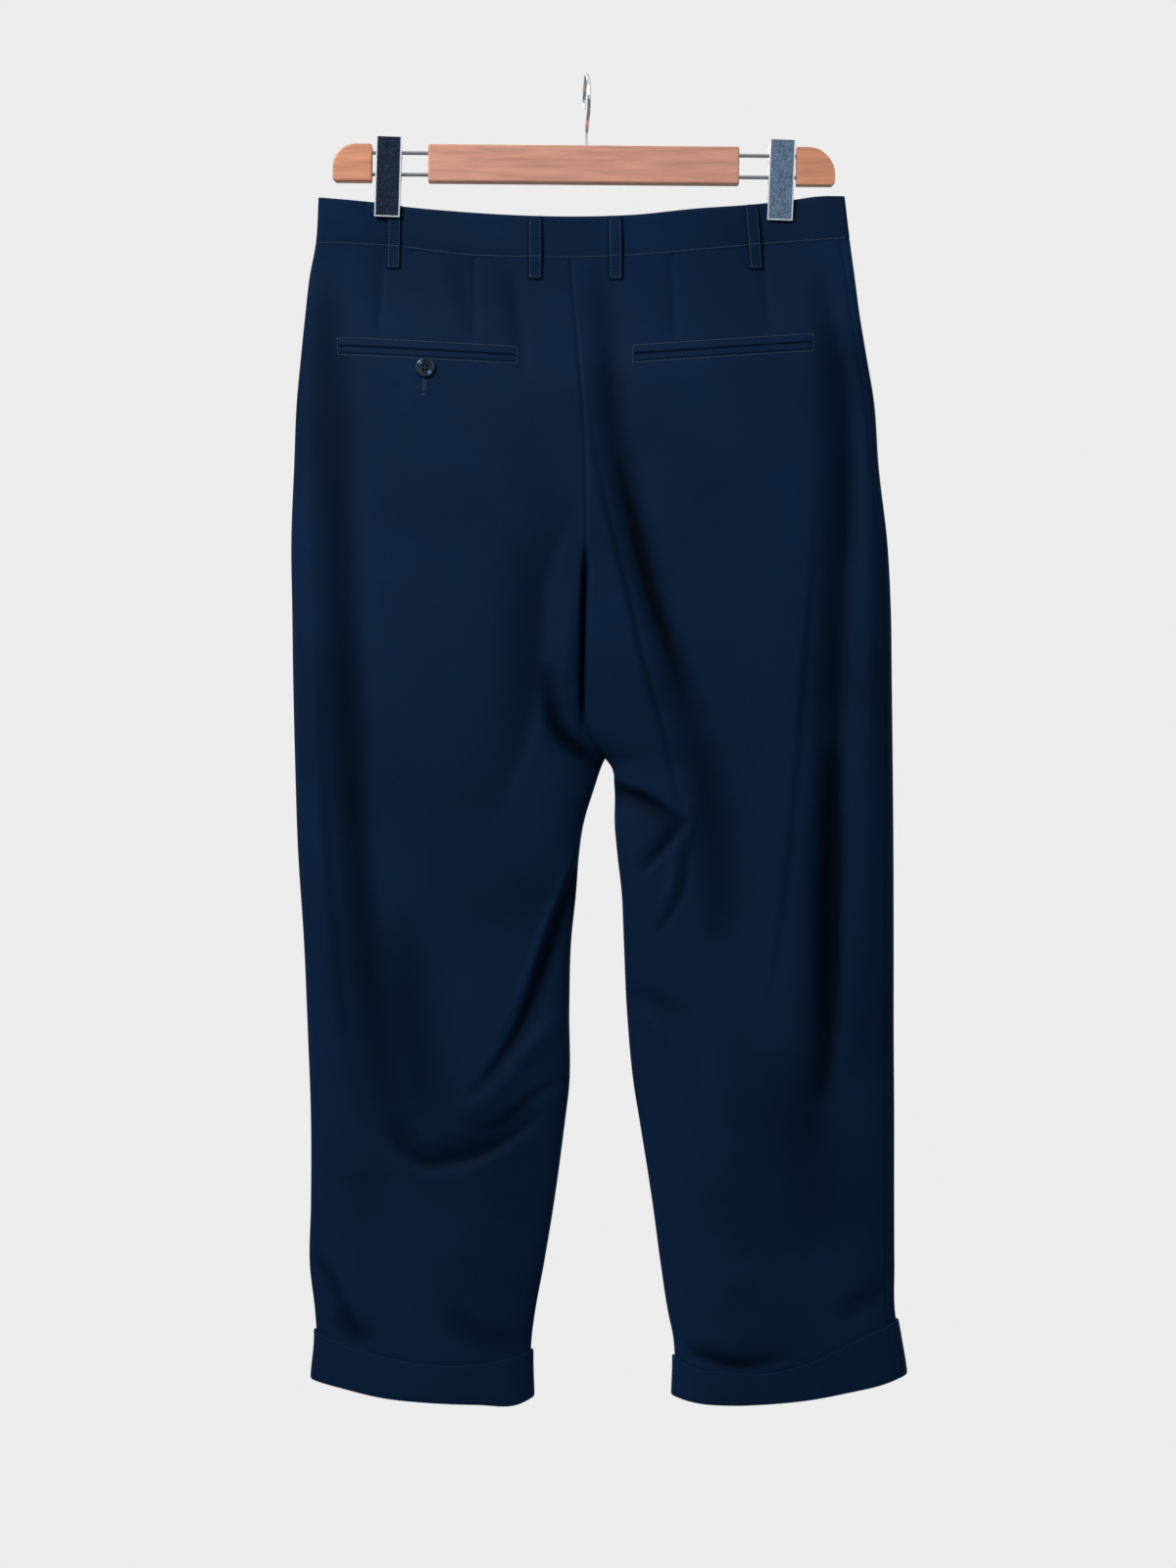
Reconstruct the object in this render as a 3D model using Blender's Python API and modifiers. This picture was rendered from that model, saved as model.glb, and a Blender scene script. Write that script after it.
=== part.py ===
"""Pleated dress trousers clipped by the waistband to a trouser hanger.

Metres, +Z up. The origin is the seat of the hanger's hook. The fly faces -Y, the seat
faces +Y, and the wearer's left is +X. Sizes below are in millimetres.
"""

import math
from collections import namedtuple

import bmesh
import bpy
import numpy as np
from mathutils import Matrix, Vector
from mathutils.bvhtree import BVHTree

MM = 0.001

# Cloth
WALL = 1.5
BAND_WALL = 2.0
TRIM_WALL = 1.0
LOOP_WALL = 1.4
GAP = 0.3
CROTCH_Z = -577.0
CROTCH_RISE = 150.0
BAND_BLEND = 120.0
LEG_ROUNDNESS = 2.4
BAND_ROUNDNESS = 8.0
EDGE_FADE = 10.0
FAR = 200.0
CREASE_WIDTH = 0.035
PLEAT_EDGE = 0.03
PLEAT_SPREAD = 0.09

# Levels at which the panels' top and bottom edges are set out
SIDE_TOP_Z = -145.0
CENTRE_TOP_Z = -155.0
HEM_Z = -1110.0

# Waistband and cuffs
LOOP_WIDTH = 12.0
LOOP_BOW = 1.2
FLY_OVERLAP = 8.0
FLY_END_Z = -330.0
TAB_LENGTH = 34.0
CUFF_WALL = 1.5
CUFF_EASE = 0.9
BAND_LEFT_END = 229.5
BAND_RIGHT_END = -222.5
TAB_RISE = 14.0
TAB_START = 13.0

# Trims
POCKET_EDGE_FOOT_Z = -322.0
POCKET_EDGE_WIDTH = 9.0
POCKET_EDGE_TOP_REACH = 40.0
POCKET_EDGE_FOOT_REACH = 6.0
FLY_SHIELD_TOP_Z = -158.0
FLY_SHIELD_HALF = 18.0
BUTTON_RADIUS = 8.6
BUTTON_THICKNESS = 2.6

# Hanger
WIRE_RADIUS = 1.6
SHANK_RADIUS = 1.2
HOOK_INNER_RADIUS = 18.5
HOOK_TURN = math.radians(6.0)
BAR_TILT = math.radians(-0.46)
BAR_Z = -74.4
BAR_HEIGHT = 31.7
BAR_THICKNESS = 14.0
BAR_LEFT_END = 134.0
BAR_RIGHT_END = -129.1
ROD_RADIUS = 1.6
ROD_RISE = 9.15
SOCKET_DEPTH = 12.0
CLIP_LENGTH = 67.5
CLIP_THICKNESS = 2.0
CLIP_RISE = 21.5
CLIP_SPREAD = 7.6
SADDLE_WIDTH = 15.0
SADDLE_DEPTH = 9.4
SADDLE_DROP = 15.5
SADDLE_RISE = 14.0
SHANK_END_Z = -66.0

Band = namedtuple("Band", "x top seam depth")
BAND = (
    Band(230.0, -101.8, -141.9, 4.0),
    Band(205.0, -103.9, -142.6, 4.2),
    Band(182.0, -105.9, -143.7, 2.9),
    Band(177.0, -106.3, -143.9, 2.4),
    Band(157.0, -109.4, -145.5, 2.4),
    Band(150.0, -110.3, -146.3, 3.0),
    Band(112.0, -114.4, -151.9, 7.0),
    Band(50.0, -118.6, -155.2, 10.0),
    Band(9.5, -119.5, -155.6, 11.0),
    Band(-40.0, -117.9, -153.6, 10.5),
    Band(-94.0, -112.0, -148.6, 7.5),
    Band(-136.0, -108.4, -144.4, 3.6),
    Band(-151.0, -106.8, -142.9, 2.4),
    Band(-176.0, -103.9, -141.0, 2.4),
    Band(-198.0, -101.2, -139.6, 4.2),
    Band(-222.0, -100.9, -138.2, 4.0),
)

# The band's columns, and how its ends' columns gather, as shares of its length.
BAND_COLUMNS = (
    205.0, 182.0, 177.0, 167.0, 157.0, 150.0, 130.0, 104.0, 75.0, 43.0, 9.5,
    -24.0, -55.0, -85.0, -112.0, -136.0, -151.0, -164.0, -176.0, -198.0,
)
BAND_CORNER = (0.0, 0.0015, 0.008, 0.025)

Outline = namedtuple("Outline", "z left right")
OUTLINE = (
    Outline(-100.0, 227.0, -218.5),
    Outline(-142.0, 229.6, -223.5),
    Outline(-168.0, 234.5, -227.0),
    Outline(-200.0, 238.2, -231.2),
    Outline(-240.0, 242.3, -237.8),
    Outline(-272.0, 245.3, -243.2),
    Outline(-330.0, 247.8, -247.5),
    Outline(-396.0, 250.2, -255.0),
    Outline(-450.0, 249.4, -257.8),
    Outline(-509.0, 248.6, -258.6),
    Outline(-582.0, 246.9, -259.4),
    Outline(-656.0, 244.4, -260.0),
    Outline(-731.0, 239.5, -260.2),
    Outline(-810.0, 236.1, -260.2),
    Outline(-880.0, 233.6, -260.6),
    Outline(-955.0, 233.6, -260.6),
    Outline(-1005.0, 234.5, -260.8),
    Outline(-1047.0, 229.8, -261.5),
    Outline(-1065.0, 228.8, -264.5),
    Outline(-1096.0, 231.5, -269.5),
    Outline(-1125.0, 233.5, -271.5),
)

CentreSeam = namedtuple("CentreSeam", "z x")
CENTRE_SEAM = (
    CentreSeam(-100.0, 13.0),
    CentreSeam(-160.0, 12.9),
    CentreSeam(-204.0, 9.5),
    CentreSeam(-270.0, 3.7),
    CentreSeam(-330.0, 0.6),
    CentreSeam(-416.0, 0.6),
    CentreSeam(-474.0, 2.6),
    CentreSeam(-520.0, 3.0),
    CentreSeam(-548.0, -0.5),
    CentreSeam(-565.0, -7.5),
    CentreSeam(-577.0, -15.8),
)

Inseam = namedtuple("Inseam", "z left right")
INSEAM = (
    Inseam(-577.0, -15.6, -16.0),
    Inseam(-584.0, -12.5, -21.0),
    Inseam(-600.0, -7.2, -23.4),
    Inseam(-634.0, 2.9, -23.8),
    Inseam(-660.0, 6.5, -26.2),
    Inseam(-689.0, 8.7, -29.5),
    Inseam(-731.0, 12.9, -31.4),
    Inseam(-789.0, 14.5, -34.0),
    Inseam(-856.0, 14.8, -40.3),
    Inseam(-881.0, 17.8, -44.4),
    Inseam(-955.0, 27.8, -56.0),
    Inseam(-1005.0, 36.1, -62.7),
    Inseam(-1047.0, 43.8, -69.2),
    Inseam(-1065.0, 46.2, -73.0),
    Inseam(-1125.0, 46.0, -73.4),
)

Fullness = namedtuple("Fullness", "z depth")
FULLNESS = (
    Fullness(-100.0, 12.0),
    Fullness(-150.0, 13.0),
    Fullness(-200.0, 17.0),
    Fullness(-260.0, 23.0),
    Fullness(-330.0, 28.0),
    Fullness(-420.0, 31.0),
    Fullness(-500.0, 32.0),
    Fullness(-577.0, 31.0),
    Fullness(-650.0, 28.0),
    Fullness(-750.0, 25.0),
    Fullness(-850.0, 23.0),
    Fullness(-950.0, 21.0),
    Fullness(-1050.0, 19.5),
    Fullness(-1125.0, 19.5),
)

Hem = namedtuple("Hem", "x cuff_top bottom")
LEFT_HEM = (
    Hem(44.0, -1076.0, -1115.5),
    Hem(58.0, -1080.5, -1121.5),
    Hem(92.0, -1086.5, -1121.0),
    Hem(135.0, -1086.5, -1119.0),
    Hem(170.0, -1080.0, -1115.0),
    Hem(212.0, -1068.5, -1106.0),
    Hem(234.0, -1059.0, -1101.0),
)
RIGHT_HEM = (
    Hem(-272.0, -1050.5, -1097.0),
    Hem(-250.0, -1059.0, -1104.5),
    Hem(-217.0, -1073.0, -1111.5),
    Hem(-186.0, -1086.0, -1117.0),
    Hem(-150.0, -1094.0, -1120.5),
    Hem(-120.0, -1093.0, -1121.5),
    Hem(-90.0, -1090.0, -1119.5),
    Hem(-71.0, -1080.0, -1114.5),
)

# A fold runs along its path, with a positive depth for a trough and a negative one for a ridge.
Fold = namedtuple("Fold", "name width depth path")
BACK_FOLDS = (
    Fold("left side trough", 15, 8.0,
         ((213, -190), (211, -350), (206, -480), (198, -620), (184, -790), (165, -905), (133, -955))),
    Fold("left inner dip", 18, 5.0, ((24, -375), (42, -440), (62, -520), (72, -610))),
    Fold("left fork hollow", 12, 7.0, ((20, -500), (21, -560), (8, -600))),
    Fold("left inner drag line", 10, 6.0, ((14, -640), (30, -730), (56, -790), (84, -850))),
    Fold("left knee smile", 10, 6.0, ((172, -885), (145, -918), (106, -920), (62, -900), (40, -880))),
    Fold("right side trough", 15, 8.0,
         ((-196, -160), (-213, -260), (-214, -400), (-209, -560), (-205, -760), (-198, -930))),
    Fold("right drag line", 16, 6.0, ((-14, -190), (-25, -290), (-44, -390), (-72, -480), (-112, -640))),
    Fold("right knee pinch", 9, 5.5, ((-46, -605), (-80, -633), (-52, -668))),
)
FRONT_FOLDS = (
    Fold("left thigh sway", 20, 6.0, ((196, -330), (190, -470), (176, -640), (160, -800))),
    Fold("left fork drag line", 14, 5.0, ((12, -480), (34, -560), (60, -620))),
    Fold("right thigh sway", 20, 6.0, ((-204, -300), (-196, -480), (-184, -660), (-176, -840))),
    Fold("right fork drag line", 14, 5.0, ((-22, -470), (-48, -560), (-76, -640))),
)

# A pleat stands out at a fraction of the way from the side seam to the centre.
Pleat = namedtuple("Pleat", "fraction height length")
PLEATS = (Pleat(0.50, 3.2, 190.0), Pleat(0.37, 2.4, 140.0))
CREASE_HEIGHT = 2.2

ROW_LEVELS = (
    -200, -250, -300, -330, -375, -415, -445, -480, -510, -535, -555, -568, CROTCH_Z,
    -600, -640, -680, -725, -770, -815, -860, -895, -925, -960, -1005, -1045, -1066, -1090,
)
BACK_COLUMNS = (0, 0.018, 0.065, 0.14, 0.24, 0.35, 0.46, 0.57, 0.68, 0.79, 0.88, 0.955, 1)
FRONT_COLUMNS = (
    0, 0.018, 0.065, 0.15, 0.26, 0.345, 0.375, 0.44, 0.495, 0.525, 0.62, 0.74, 0.87, 0.96, 1,
)

Jet = namedtuple("Jet", "name outer_x inner_x outer_z inner_z height")
BACK_JETS = (
    Jet("back_pocket_upper_jet_left", 209.0, 60.0, -225.3, -234.0, 6.0),
    Jet("back_pocket_lower_jet_left", 209.0, 60.0, -232.2, -240.4, 6.0),
    Jet("back_pocket_upper_jet_right", -190.0, -40.0, -222.4, -233.0, 6.0),
    Jet("back_pocket_lower_jet_right", -190.0, -40.0, -229.3, -239.8, 6.0),
)

Loop = namedtuple("Loop", "name face top_x foot_x foot_z")
LOOPS = (
    Loop("belt_loop_back_outer_left", 1, 162.5, 163.5, -162.0),
    Loop("belt_loop_back_inner_left", 1, 43.5, 43.5, -172.0),
    Loop("belt_loop_back_inner_right", 1, -24.0, -24.5, -172.5),
    Loop("belt_loop_back_outer_right", 1, -139.5, -143.5, -162.5),
    Loop("belt_loop_front_left", -1, 104.0, 104.0, -166.0),
    Loop("belt_loop_front_right", -1, -112.0, -112.0, -163.0),
)

Clip = namedtuple("Clip", "name x turn back_jaw front_jaw width")
CLIPS = (
    Clip("left", 167.6, math.radians(-1.4), 4.7, 2.8, 21.5),
    Clip("right", -164.8, math.radians(-1.6), 2.8, 2.8, 21.5),
)

EndCap = namedtuple("EndCap", "name side inner outer corner")
END_CAPS = (
    EndCap("left", 1, 181.4, 214.6, 19.0),
    EndCap("right", -1, -177.6, -210.1, 23.0),
)


# ---------------------------------------------------------------- numbers and surfaces


def smooth(table, key, value, at):
    """Reads one column of a table as a smooth curve through its rows."""
    rows = sorted(table, key=lambda row: getattr(row, key))
    keys = np.array([getattr(row, key) for row in rows], float)
    values = np.array([getattr(row, value) for row in rows], float)
    slopes = np.gradient(values, keys)
    at = np.clip(at, keys[0], keys[-1])
    span = np.clip(np.searchsorted(keys, at, side="right") - 1, 0, len(keys) - 2)
    step = keys[span + 1] - keys[span]
    t = (at - keys[span]) / step
    rise = values[span + 1] - values[span]
    bend_in = slopes[span] * step - rise
    bend_out = rise - slopes[span + 1] * step
    return values[span] + t * rise + t * (1 - t) * ((1 - t) * bend_in + t * bend_out)


def ease(x, low, high):
    """A smooth step from 0 at low to 1 at high."""
    t = np.clip((np.asarray(x, float) - low) / (high - low), 0.0, 1.0)
    return t * t * (3 - 2 * t)


def centre_x(z):
    return smooth(CENTRE_SEAM, "z", "x", z)


def outer_x(side, z):
    return smooth(OUTLINE, "z", "left" if side > 0 else "right", z)


def inner_x(side, z):
    """The edge next to the other leg: the centre seam, and the inseam below the crotch."""
    below = smooth(INSEAM, "z", "left" if side > 0 else "right", z)
    return np.where(np.asarray(z) >= CROTCH_Z, centre_x(z), below)


def seam_z(x):
    return smooth(BAND, "x", "seam", x)


def band_top_z(x):
    return smooth(BAND, "x", "top", x)


def hem_table(side):
    return LEFT_HEM if side > 0 else RIGHT_HEM


def turn_under(z):
    """How far round the fork a section has closed: 0 where the halves join, -1 at the crotch."""
    return -np.clip((CROTCH_Z + CROTCH_RISE - np.asarray(z, float)) / CROTCH_RISE, 0.0, 1.0)


def roundness(x, z):
    return BAND_ROUNDNESS + (LEG_ROUNDNESS - BAND_ROUNDNESS) * ease(seam_z(x) - z, 0, BAND_BLEND)


def fullness(x, z):
    loose = smooth(FULLNESS, "z", "depth", z)
    held = smooth(BAND, "x", "depth", x)
    return held + (loose - held) * ease(seam_z(x) - z, 0, BAND_BLEND)


def path_points(path, count=60):
    """A fold's path as a smooth row of points."""
    points = np.array(path, float)
    steps = np.arange(len(points))
    tangents = np.gradient(points, axis=0)
    t = np.linspace(0, len(points) - 1, count)
    i = np.minimum(t.astype(int), len(points) - 2)
    f = (t - steps[i])[:, None]
    rise = points[i + 1] - points[i]
    bend_in = tangents[i] - rise
    bend_out = rise - tangents[i + 1]
    return points[i] + f * rise + f * (1 - f) * ((1 - f) * bend_in + f * bend_out)


def fold_depth(folds, x, z):
    """How far the folds sink the cloth at x, z."""
    x, z = np.broadcast_arrays(np.asarray(x, float), np.asarray(z, float))
    total = np.zeros(x.shape)
    for fold in folds:
        path = path_points(fold.path)
        away = np.hypot(x[..., None] - path[:, 0], z[..., None] - path[:, 1])
        nearest = away.argmin(axis=-1)
        along = nearest / (len(path) - 1)
        taper = np.sin(np.pi * np.clip(along, 0, 1)) ** 0.6
        total += fold.depth * taper * np.exp(-((away.min(axis=-1) / fold.width) ** 2))
    return total


def pleat_height(fraction, side, z):
    """The front's pleats at the waist, which run down into the pressed crease."""
    fall = seam_z(side * 110.0) - z
    height = CREASE_HEIGHT * np.exp(-(((fraction - 0.5) / CREASE_WIDTH) ** 2)) * ease(fall, 60, 240)
    for pleat in PLEATS:
        across = fraction - pleat.fraction
        width = np.where(across > 0, PLEAT_EDGE, PLEAT_SPREAD)
        lip = np.exp(-((across / width) ** 2))
        height = height + pleat.height * lip * (1 - ease(fall, 20, pleat.length))
    return height


def section(side, face, fraction, z, level=None, inset=0.0):
    """A point of the leg's surface: fraction 0 at the side seam and 1 at the inner edge."""
    level = z if level is None else level
    closed = -turn_under(level)
    inner = inner_x(side, level) + side * inset * ease(closed, 0.7, 1.0)
    outer = outer_x(side, z) - side * inset
    x = outer + (inner - outer) * fraction
    s = 1 - (1 + closed) * fraction
    power = roundness(x, z)
    rim = np.maximum(1 - np.abs(s) ** power, 0.0) ** (1 / power)
    depth = (fullness(x, z) - inset) * rim
    fade = ease(depth, 1.0, EDGE_FADE)
    if face > 0:
        depth = depth - fold_depth(BACK_FOLDS, x, z) * fade
    else:
        depth = depth - fold_depth(FRONT_FOLDS, x, z) * fade
        depth = depth + pleat_height(fraction, side, z) * fade
        depth = depth + fly_lift(side, x, z)
    return x, np.maximum(depth, GAP / 2)


def fly_lift(side, x, z):
    """The left front stands out where it laps the right one at the fly."""
    if side < 0:
        return 0.0
    near = 1 - ease(x - centre_x(z), 4, 20)
    return (WALL + GAP) * near * ease(z, FLY_END_Z - 45, FLY_END_Z)


# ---------------------------------------------------------------- meshes


def add_object(name, mesh, material):
    mesh.materials.append(material)
    item = bpy.data.objects.new(name, mesh)
    PARTS.objects.link(item)
    return item


def loft(name, outer, inner, material, ring=False):
    """A closed wall between two grids of points, given in millimetres as rows of columns."""
    rows, columns = outer.shape[:2]
    mesh = bpy.data.meshes.new(name)
    work = bmesh.new()
    skins = []
    for grid in (outer, inner):
        points = np.asarray(grid, float).reshape(-1, 3) * MM
        skins.append([work.verts.new(point) for point in points])
    last = columns if ring else columns - 1
    for row in range(rows - 1):
        for column in range(last):
            a = row * columns + column
            b = row * columns + (column + 1) % columns
            corners = (a, b, b + columns, a + columns)
            work.faces.new([skins[0][i] for i in corners])
            work.faces.new([skins[1][i] for i in reversed(corners)])
    rims = []
    for start in (0, (rows - 1) * columns):
        rims += [(start + column, start + (column + 1) % columns) for column in range(last)]
    if not ring:
        for edge in (0, columns - 1):
            rims += [(row * columns + edge, (row + 1) * columns + edge) for row in range(rows - 1)]
    for a, b in rims:
        work.faces.new([skins[0][a], skins[1][a], skins[1][b], skins[0][b]])
    bmesh.ops.recalc_face_normals(work, faces=work.faces)
    work.to_mesh(mesh)
    work.free()
    mesh.shade_smooth()
    mesh.set_sharp_from_angle(angle=math.radians(50))
    return add_object(name, mesh, material)


def cloth_tree(names):
    """The built panels and bands as one surface that can be measured."""
    points = []
    faces = []
    for name in names:
        mesh = bpy.data.objects[name].data
        faces += [[index + len(points) for index in polygon.vertices] for polygon in mesh.polygons]
        points += [vertex.co / MM for vertex in mesh.vertices]
    return BVHTree.FromPolygons(points, faces)


def surface_depth(tree, face, x, z, reach_x=0.0, reach_z=0.0):
    """How far out the cloth lies at x, z: its furthest point within reach each way."""
    x, z = np.broadcast_arrays(np.asarray(x, float), np.asarray(z, float))
    result = np.zeros(x.shape)
    for index in np.ndindex(x.shape):
        for aside in (-reach_x, 0.0, reach_x):
            for up in (-reach_z, 0.0, reach_z):
                start = Vector((x[index] + aside, face * FAR, z[index] + up))
                hit = tree.ray_cast(start, Vector((0, -face, 0)))[0]
                if hit is not None:
                    result[index] = max(result[index], face * hit.y)
    return result


def grid_points(x, depth, z, face):
    x, depth, z = np.broadcast_arrays(x, depth, z)
    return np.stack([x, face * depth, z], axis=-1)


def leg_panel(name, side, face, columns, material):
    """One front or back panel, from the waist seam to just above the fold of the cuff."""
    fraction = np.array(columns)[None, :]
    hem = hem_table(side)
    top_centre = seam_z(centre_x(CENTRE_TOP_Z)) - GAP / 2
    end_centre = smooth(hem, "x", "bottom", inner_x(side, HEM_Z)) + CUFF_WALL + GAP
    levels = np.array([top_centre, *ROW_LEVELS, end_centre])[:, None]
    waist_x = outer_x(side, SIDE_TOP_Z) * (1 - fraction) + centre_x(CENTRE_TOP_Z) * fraction
    hem_x = outer_x(side, HEM_Z) * (1 - fraction) + inner_x(side, HEM_Z) * fraction
    top = seam_z(waist_x) - GAP / 2
    end = smooth(hem, "x", "bottom", hem_x) + CUFF_WALL + GAP
    down = (top_centre - levels) / (top_centre - end_centre)
    z = top + (end - top) * down
    above = levels[:, 0] >= CROTCH_Z - 0.01
    skins = []
    for inset in (0.0, WALL):
        x, depth = section(side, face, fraction, z, level=levels, inset=inset)
        x = np.array(np.broadcast_to(x, z.shape))
        x[above, -1] += side * GAP / 2
        if face < 0 and side > 0:
            x[:, -1] -= FLY_OVERLAP * ease(levels[:, 0], FLY_END_Z, FLY_END_Z + 30)
        skins.append(grid_points(x, depth, z, face))
    return loft(name, *skins, material)


def band_piece(name, face, columns, material, lift=0.0, lap_x=None):
    """A stretch of waistband through the given x positions, lifted where it laps over lap_x."""
    x = np.array(columns, float)[None, :]
    z = np.stack([band_top_z(x[0]), (band_top_z(x[0]) + seam_z(x[0])) / 2, seam_z(x[0]) + GAP / 2])
    skins = []
    for inset in (0.0, BAND_WALL):
        middle = (outer_x(1, z) + outer_x(-1, z)) / 2
        half = (outer_x(1, z) - outer_x(-1, z)) / 2
        s = np.clip((x - middle) / half, -1, 1)
        rim = (1 - np.abs(s) ** BAND_ROUNDNESS) ** (1 / BAND_ROUNDNESS)
        depth = (smooth(BAND, "x", "depth", x) - inset) * rim
        if lift:
            depth = depth + lift * (1 - ease(x, lap_x, lap_x + TAB_RISE))
        skins.append(grid_points(middle + (half - inset) * s, np.maximum(depth, GAP / 2), z, face))
    return loft(name, *skins, material)


def cuff(name, side, material):
    """The turned-up cuff: a ring outside the leg whose lower edge turns in under it."""
    around = []
    for face in (1, -1):
        fractions = BACK_COLUMNS if face > 0 else FRONT_COLUMNS[::-1]
        around += [(fraction, face) for fraction in fractions]
    around = [pair for pair in around if not (pair[1] < 0 and pair[0] in (0, 1))]
    hem = hem_table(side)
    rings = {}
    steps = (
        ("outer top", CUFF_WALL + CUFF_EASE, 1.0),
        ("outer middle", CUFF_WALL + CUFF_EASE, 0.5),
        ("outer bottom", CUFF_WALL + CUFF_EASE, 0.0),
        ("lip bottom", -WALL, 0.0),
        ("lip top", -WALL, None),
        ("inner bottom", CUFF_EASE, None),
        ("inner middle", CUFF_EASE, 0.5),
        ("inner top", CUFF_EASE, 1.0),
    )
    for step, out, rise in steps:
        row = []
        for fraction, face in around:
            hem_x = outer_x(side, HEM_Z) * (1 - fraction) + inner_x(side, HEM_Z) * fraction
            low = float(smooth(hem, "x", "bottom", hem_x))
            high = float(smooth(hem, "x", "cuff_top", hem_x))
            z = low + CUFF_WALL if rise is None else low + (high - low) * rise
            x, depth = section(side, face, fraction, z, inset=-out)
            on_edge = fraction in (0, 1)
            row.append((float(x), 0.0 if on_edge else face * float(depth), z))
        rings[step] = row
    return tube_ring(name, list(rings.values()), material)


def tube_ring(name, rows, material):
    """A closed solid whose rows of points go once round its section."""
    count = len(rows[0])
    mesh = bpy.data.meshes.new(name)
    work = bmesh.new()
    points = [[work.verts.new(np.array(point) * MM) for point in row] for row in rows]
    for row in range(len(rows)):
        for column in range(count):
            here = points[row]
            below = points[(row + 1) % len(rows)]
            after = (column + 1) % count
            work.faces.new([here[column], here[after], below[after], below[column]])
    bmesh.ops.recalc_face_normals(work, faces=work.faces)
    work.to_mesh(mesh)
    work.free()
    mesh.shade_smooth()
    mesh.set_sharp_from_angle(angle=math.radians(50))
    return add_object(name, mesh, material)


def patch(name, tree, face, x, z, out, wall, material, bow=0.0):
    """A strip that lies on the cloth: its x and z grids, moved out from the cloth's face."""
    reach_x = 0.5 * float(np.abs(np.diff(x, axis=1)).max())
    reach_z = 0.5 * float(np.abs(np.diff(z, axis=0)).max())
    depth = surface_depth(tree, face, x, z, reach_x, reach_z)
    rise = bow * np.sin(np.pi * np.linspace(0, 1, x.shape[0]))[:, None]
    inner = grid_points(x, depth + out + rise, z, face)
    outer = grid_points(x, depth + out + wall + rise, z, face)
    return loft(name, outer, inner, material)


def belt_loop(loop, tree, material):
    down = np.linspace(0, 1, 7)[:, None]
    across = np.array([-0.5, 0.0, 0.5])[None, :] * LOOP_WIDTH
    x = loop.top_x + (loop.foot_x - loop.top_x) * down + across
    top = float(band_top_z(loop.top_x)) - 0.5
    z = top + (loop.foot_z - top) * down + 0 * across
    under_clip = loop.name == "belt_loop_back_outer_left"
    return patch(loop.name, tree, loop.face, x, z, GAP, LOOP_WALL, material, 0 if under_clip else LOOP_BOW)


def pocket_jet(jet, tree, material):
    along = np.linspace(0, 1, 14)[None, :]
    down = np.array([0.5, -0.5])[:, None] * jet.height
    x = jet.outer_x + (jet.inner_x - jet.outer_x) * along + 0 * down
    z = jet.outer_z + (jet.inner_z - jet.outer_z) * along + down
    return patch(jet.name, tree, 1, x, z, GAP, TRIM_WALL, material)


def side_pocket_edge(name, side, tree, material):
    """The slanted edge of a side pocket, on the front from the waist seam to the side seam."""
    down = np.linspace(0, 1, 12)[:, None]
    across = np.array([0.0, POCKET_EDGE_WIDTH])[None, :]
    top_z = float(seam_z(side * 190.0)) - 1.5
    z = top_z + (POCKET_EDGE_FOOT_Z - top_z) * down + 0 * across
    reach = POCKET_EDGE_TOP_REACH + (POCKET_EDGE_FOOT_REACH - POCKET_EDGE_TOP_REACH) * down
    edge = outer_x(side, z) - side * reach
    x = edge - side * across * (1 - 0.45 * down)
    return patch(name, tree, -1, x, z, GAP, TRIM_WALL, material)


def fly_shield(tree, material):
    """The strip behind the fly, which backs both fronts at the centre."""
    down = np.linspace(0, 1, 10)[:, None]
    across = np.array([-FLY_SHIELD_HALF, 0.0, FLY_SHIELD_HALF])[None, :]
    z = FLY_SHIELD_TOP_Z + (FLY_END_Z - FLY_SHIELD_TOP_Z) * down + 0 * across
    x = centre_x(z) + across
    behind = surface_depth(tree, -1, centre_x(z) + np.array([-22.0, -18.0, -14.0])[None, :], z)
    depth = behind.min(axis=1)[:, None] - WALL - 2 * GAP + 0 * across
    inner = grid_points(x, depth - TRIM_WALL, z, -1)
    return loft("fly_shield", grid_points(x, depth, z, -1), inner, material)


def button(name, x, z, face, tree, material):
    """A sewn button, a cylinder with a rounded rim, just clear of the cloth under it."""
    turn = np.linspace(0, 2 * np.pi, 13)
    rim_x = x + BUTTON_RADIUS * np.cos(turn)
    rim_z = z + BUTTON_RADIUS * np.sin(turn)
    rest = surface_depth(tree, face, rim_x, rim_z, 4, 4).max() + GAP
    bpy.ops.mesh.primitive_cylinder_add(vertices=24, radius=BUTTON_RADIUS * MM, depth=BUTTON_THICKNESS * MM)
    item = bpy.context.object
    item.rotation_euler = (math.radians(90), 0, 0)
    item.location = (x * MM, face * (rest + BUTTON_THICKNESS / 2) * MM, z * MM)
    return finish_primitive(item, name, material, bevel=0.5)


# ---------------------------------------------------------------- the hanger


def finish_primitive(item, name, material, bevel=0.0, segments=1, parent=None):
    """Names a primitive, gives it its material and bevel, and puts it among the parts."""
    item.name = name
    item.data.name = name
    item.data.materials.clear()
    item.data.materials.append(material)
    for collection in list(item.users_collection):
        collection.objects.unlink(item)
    PARTS.objects.link(item)
    if bevel:
        rounding = item.modifiers.new("Rounded edges", "BEVEL")
        rounding.width = bevel * MM
        rounding.segments = segments
        rounding.limit_method = "ANGLE"
        rounding.angle_limit = math.radians(50)
    item.parent = parent
    return item


def block(name, size, centre, material, bevel, segments=1, parent=None, tilt=(0, 0, 0)):
    """A box of the given size in millimetres, with its scale applied."""
    bpy.ops.mesh.primitive_cube_add(size=1.0)
    item = bpy.context.object
    item.data.transform(Matrix.Diagonal([value * MM for value in size] + [1.0]))
    item.location = [value * MM for value in centre]
    item.rotation_euler = tilt
    return finish_primitive(item, name, material, bevel, segments, parent)


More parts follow.
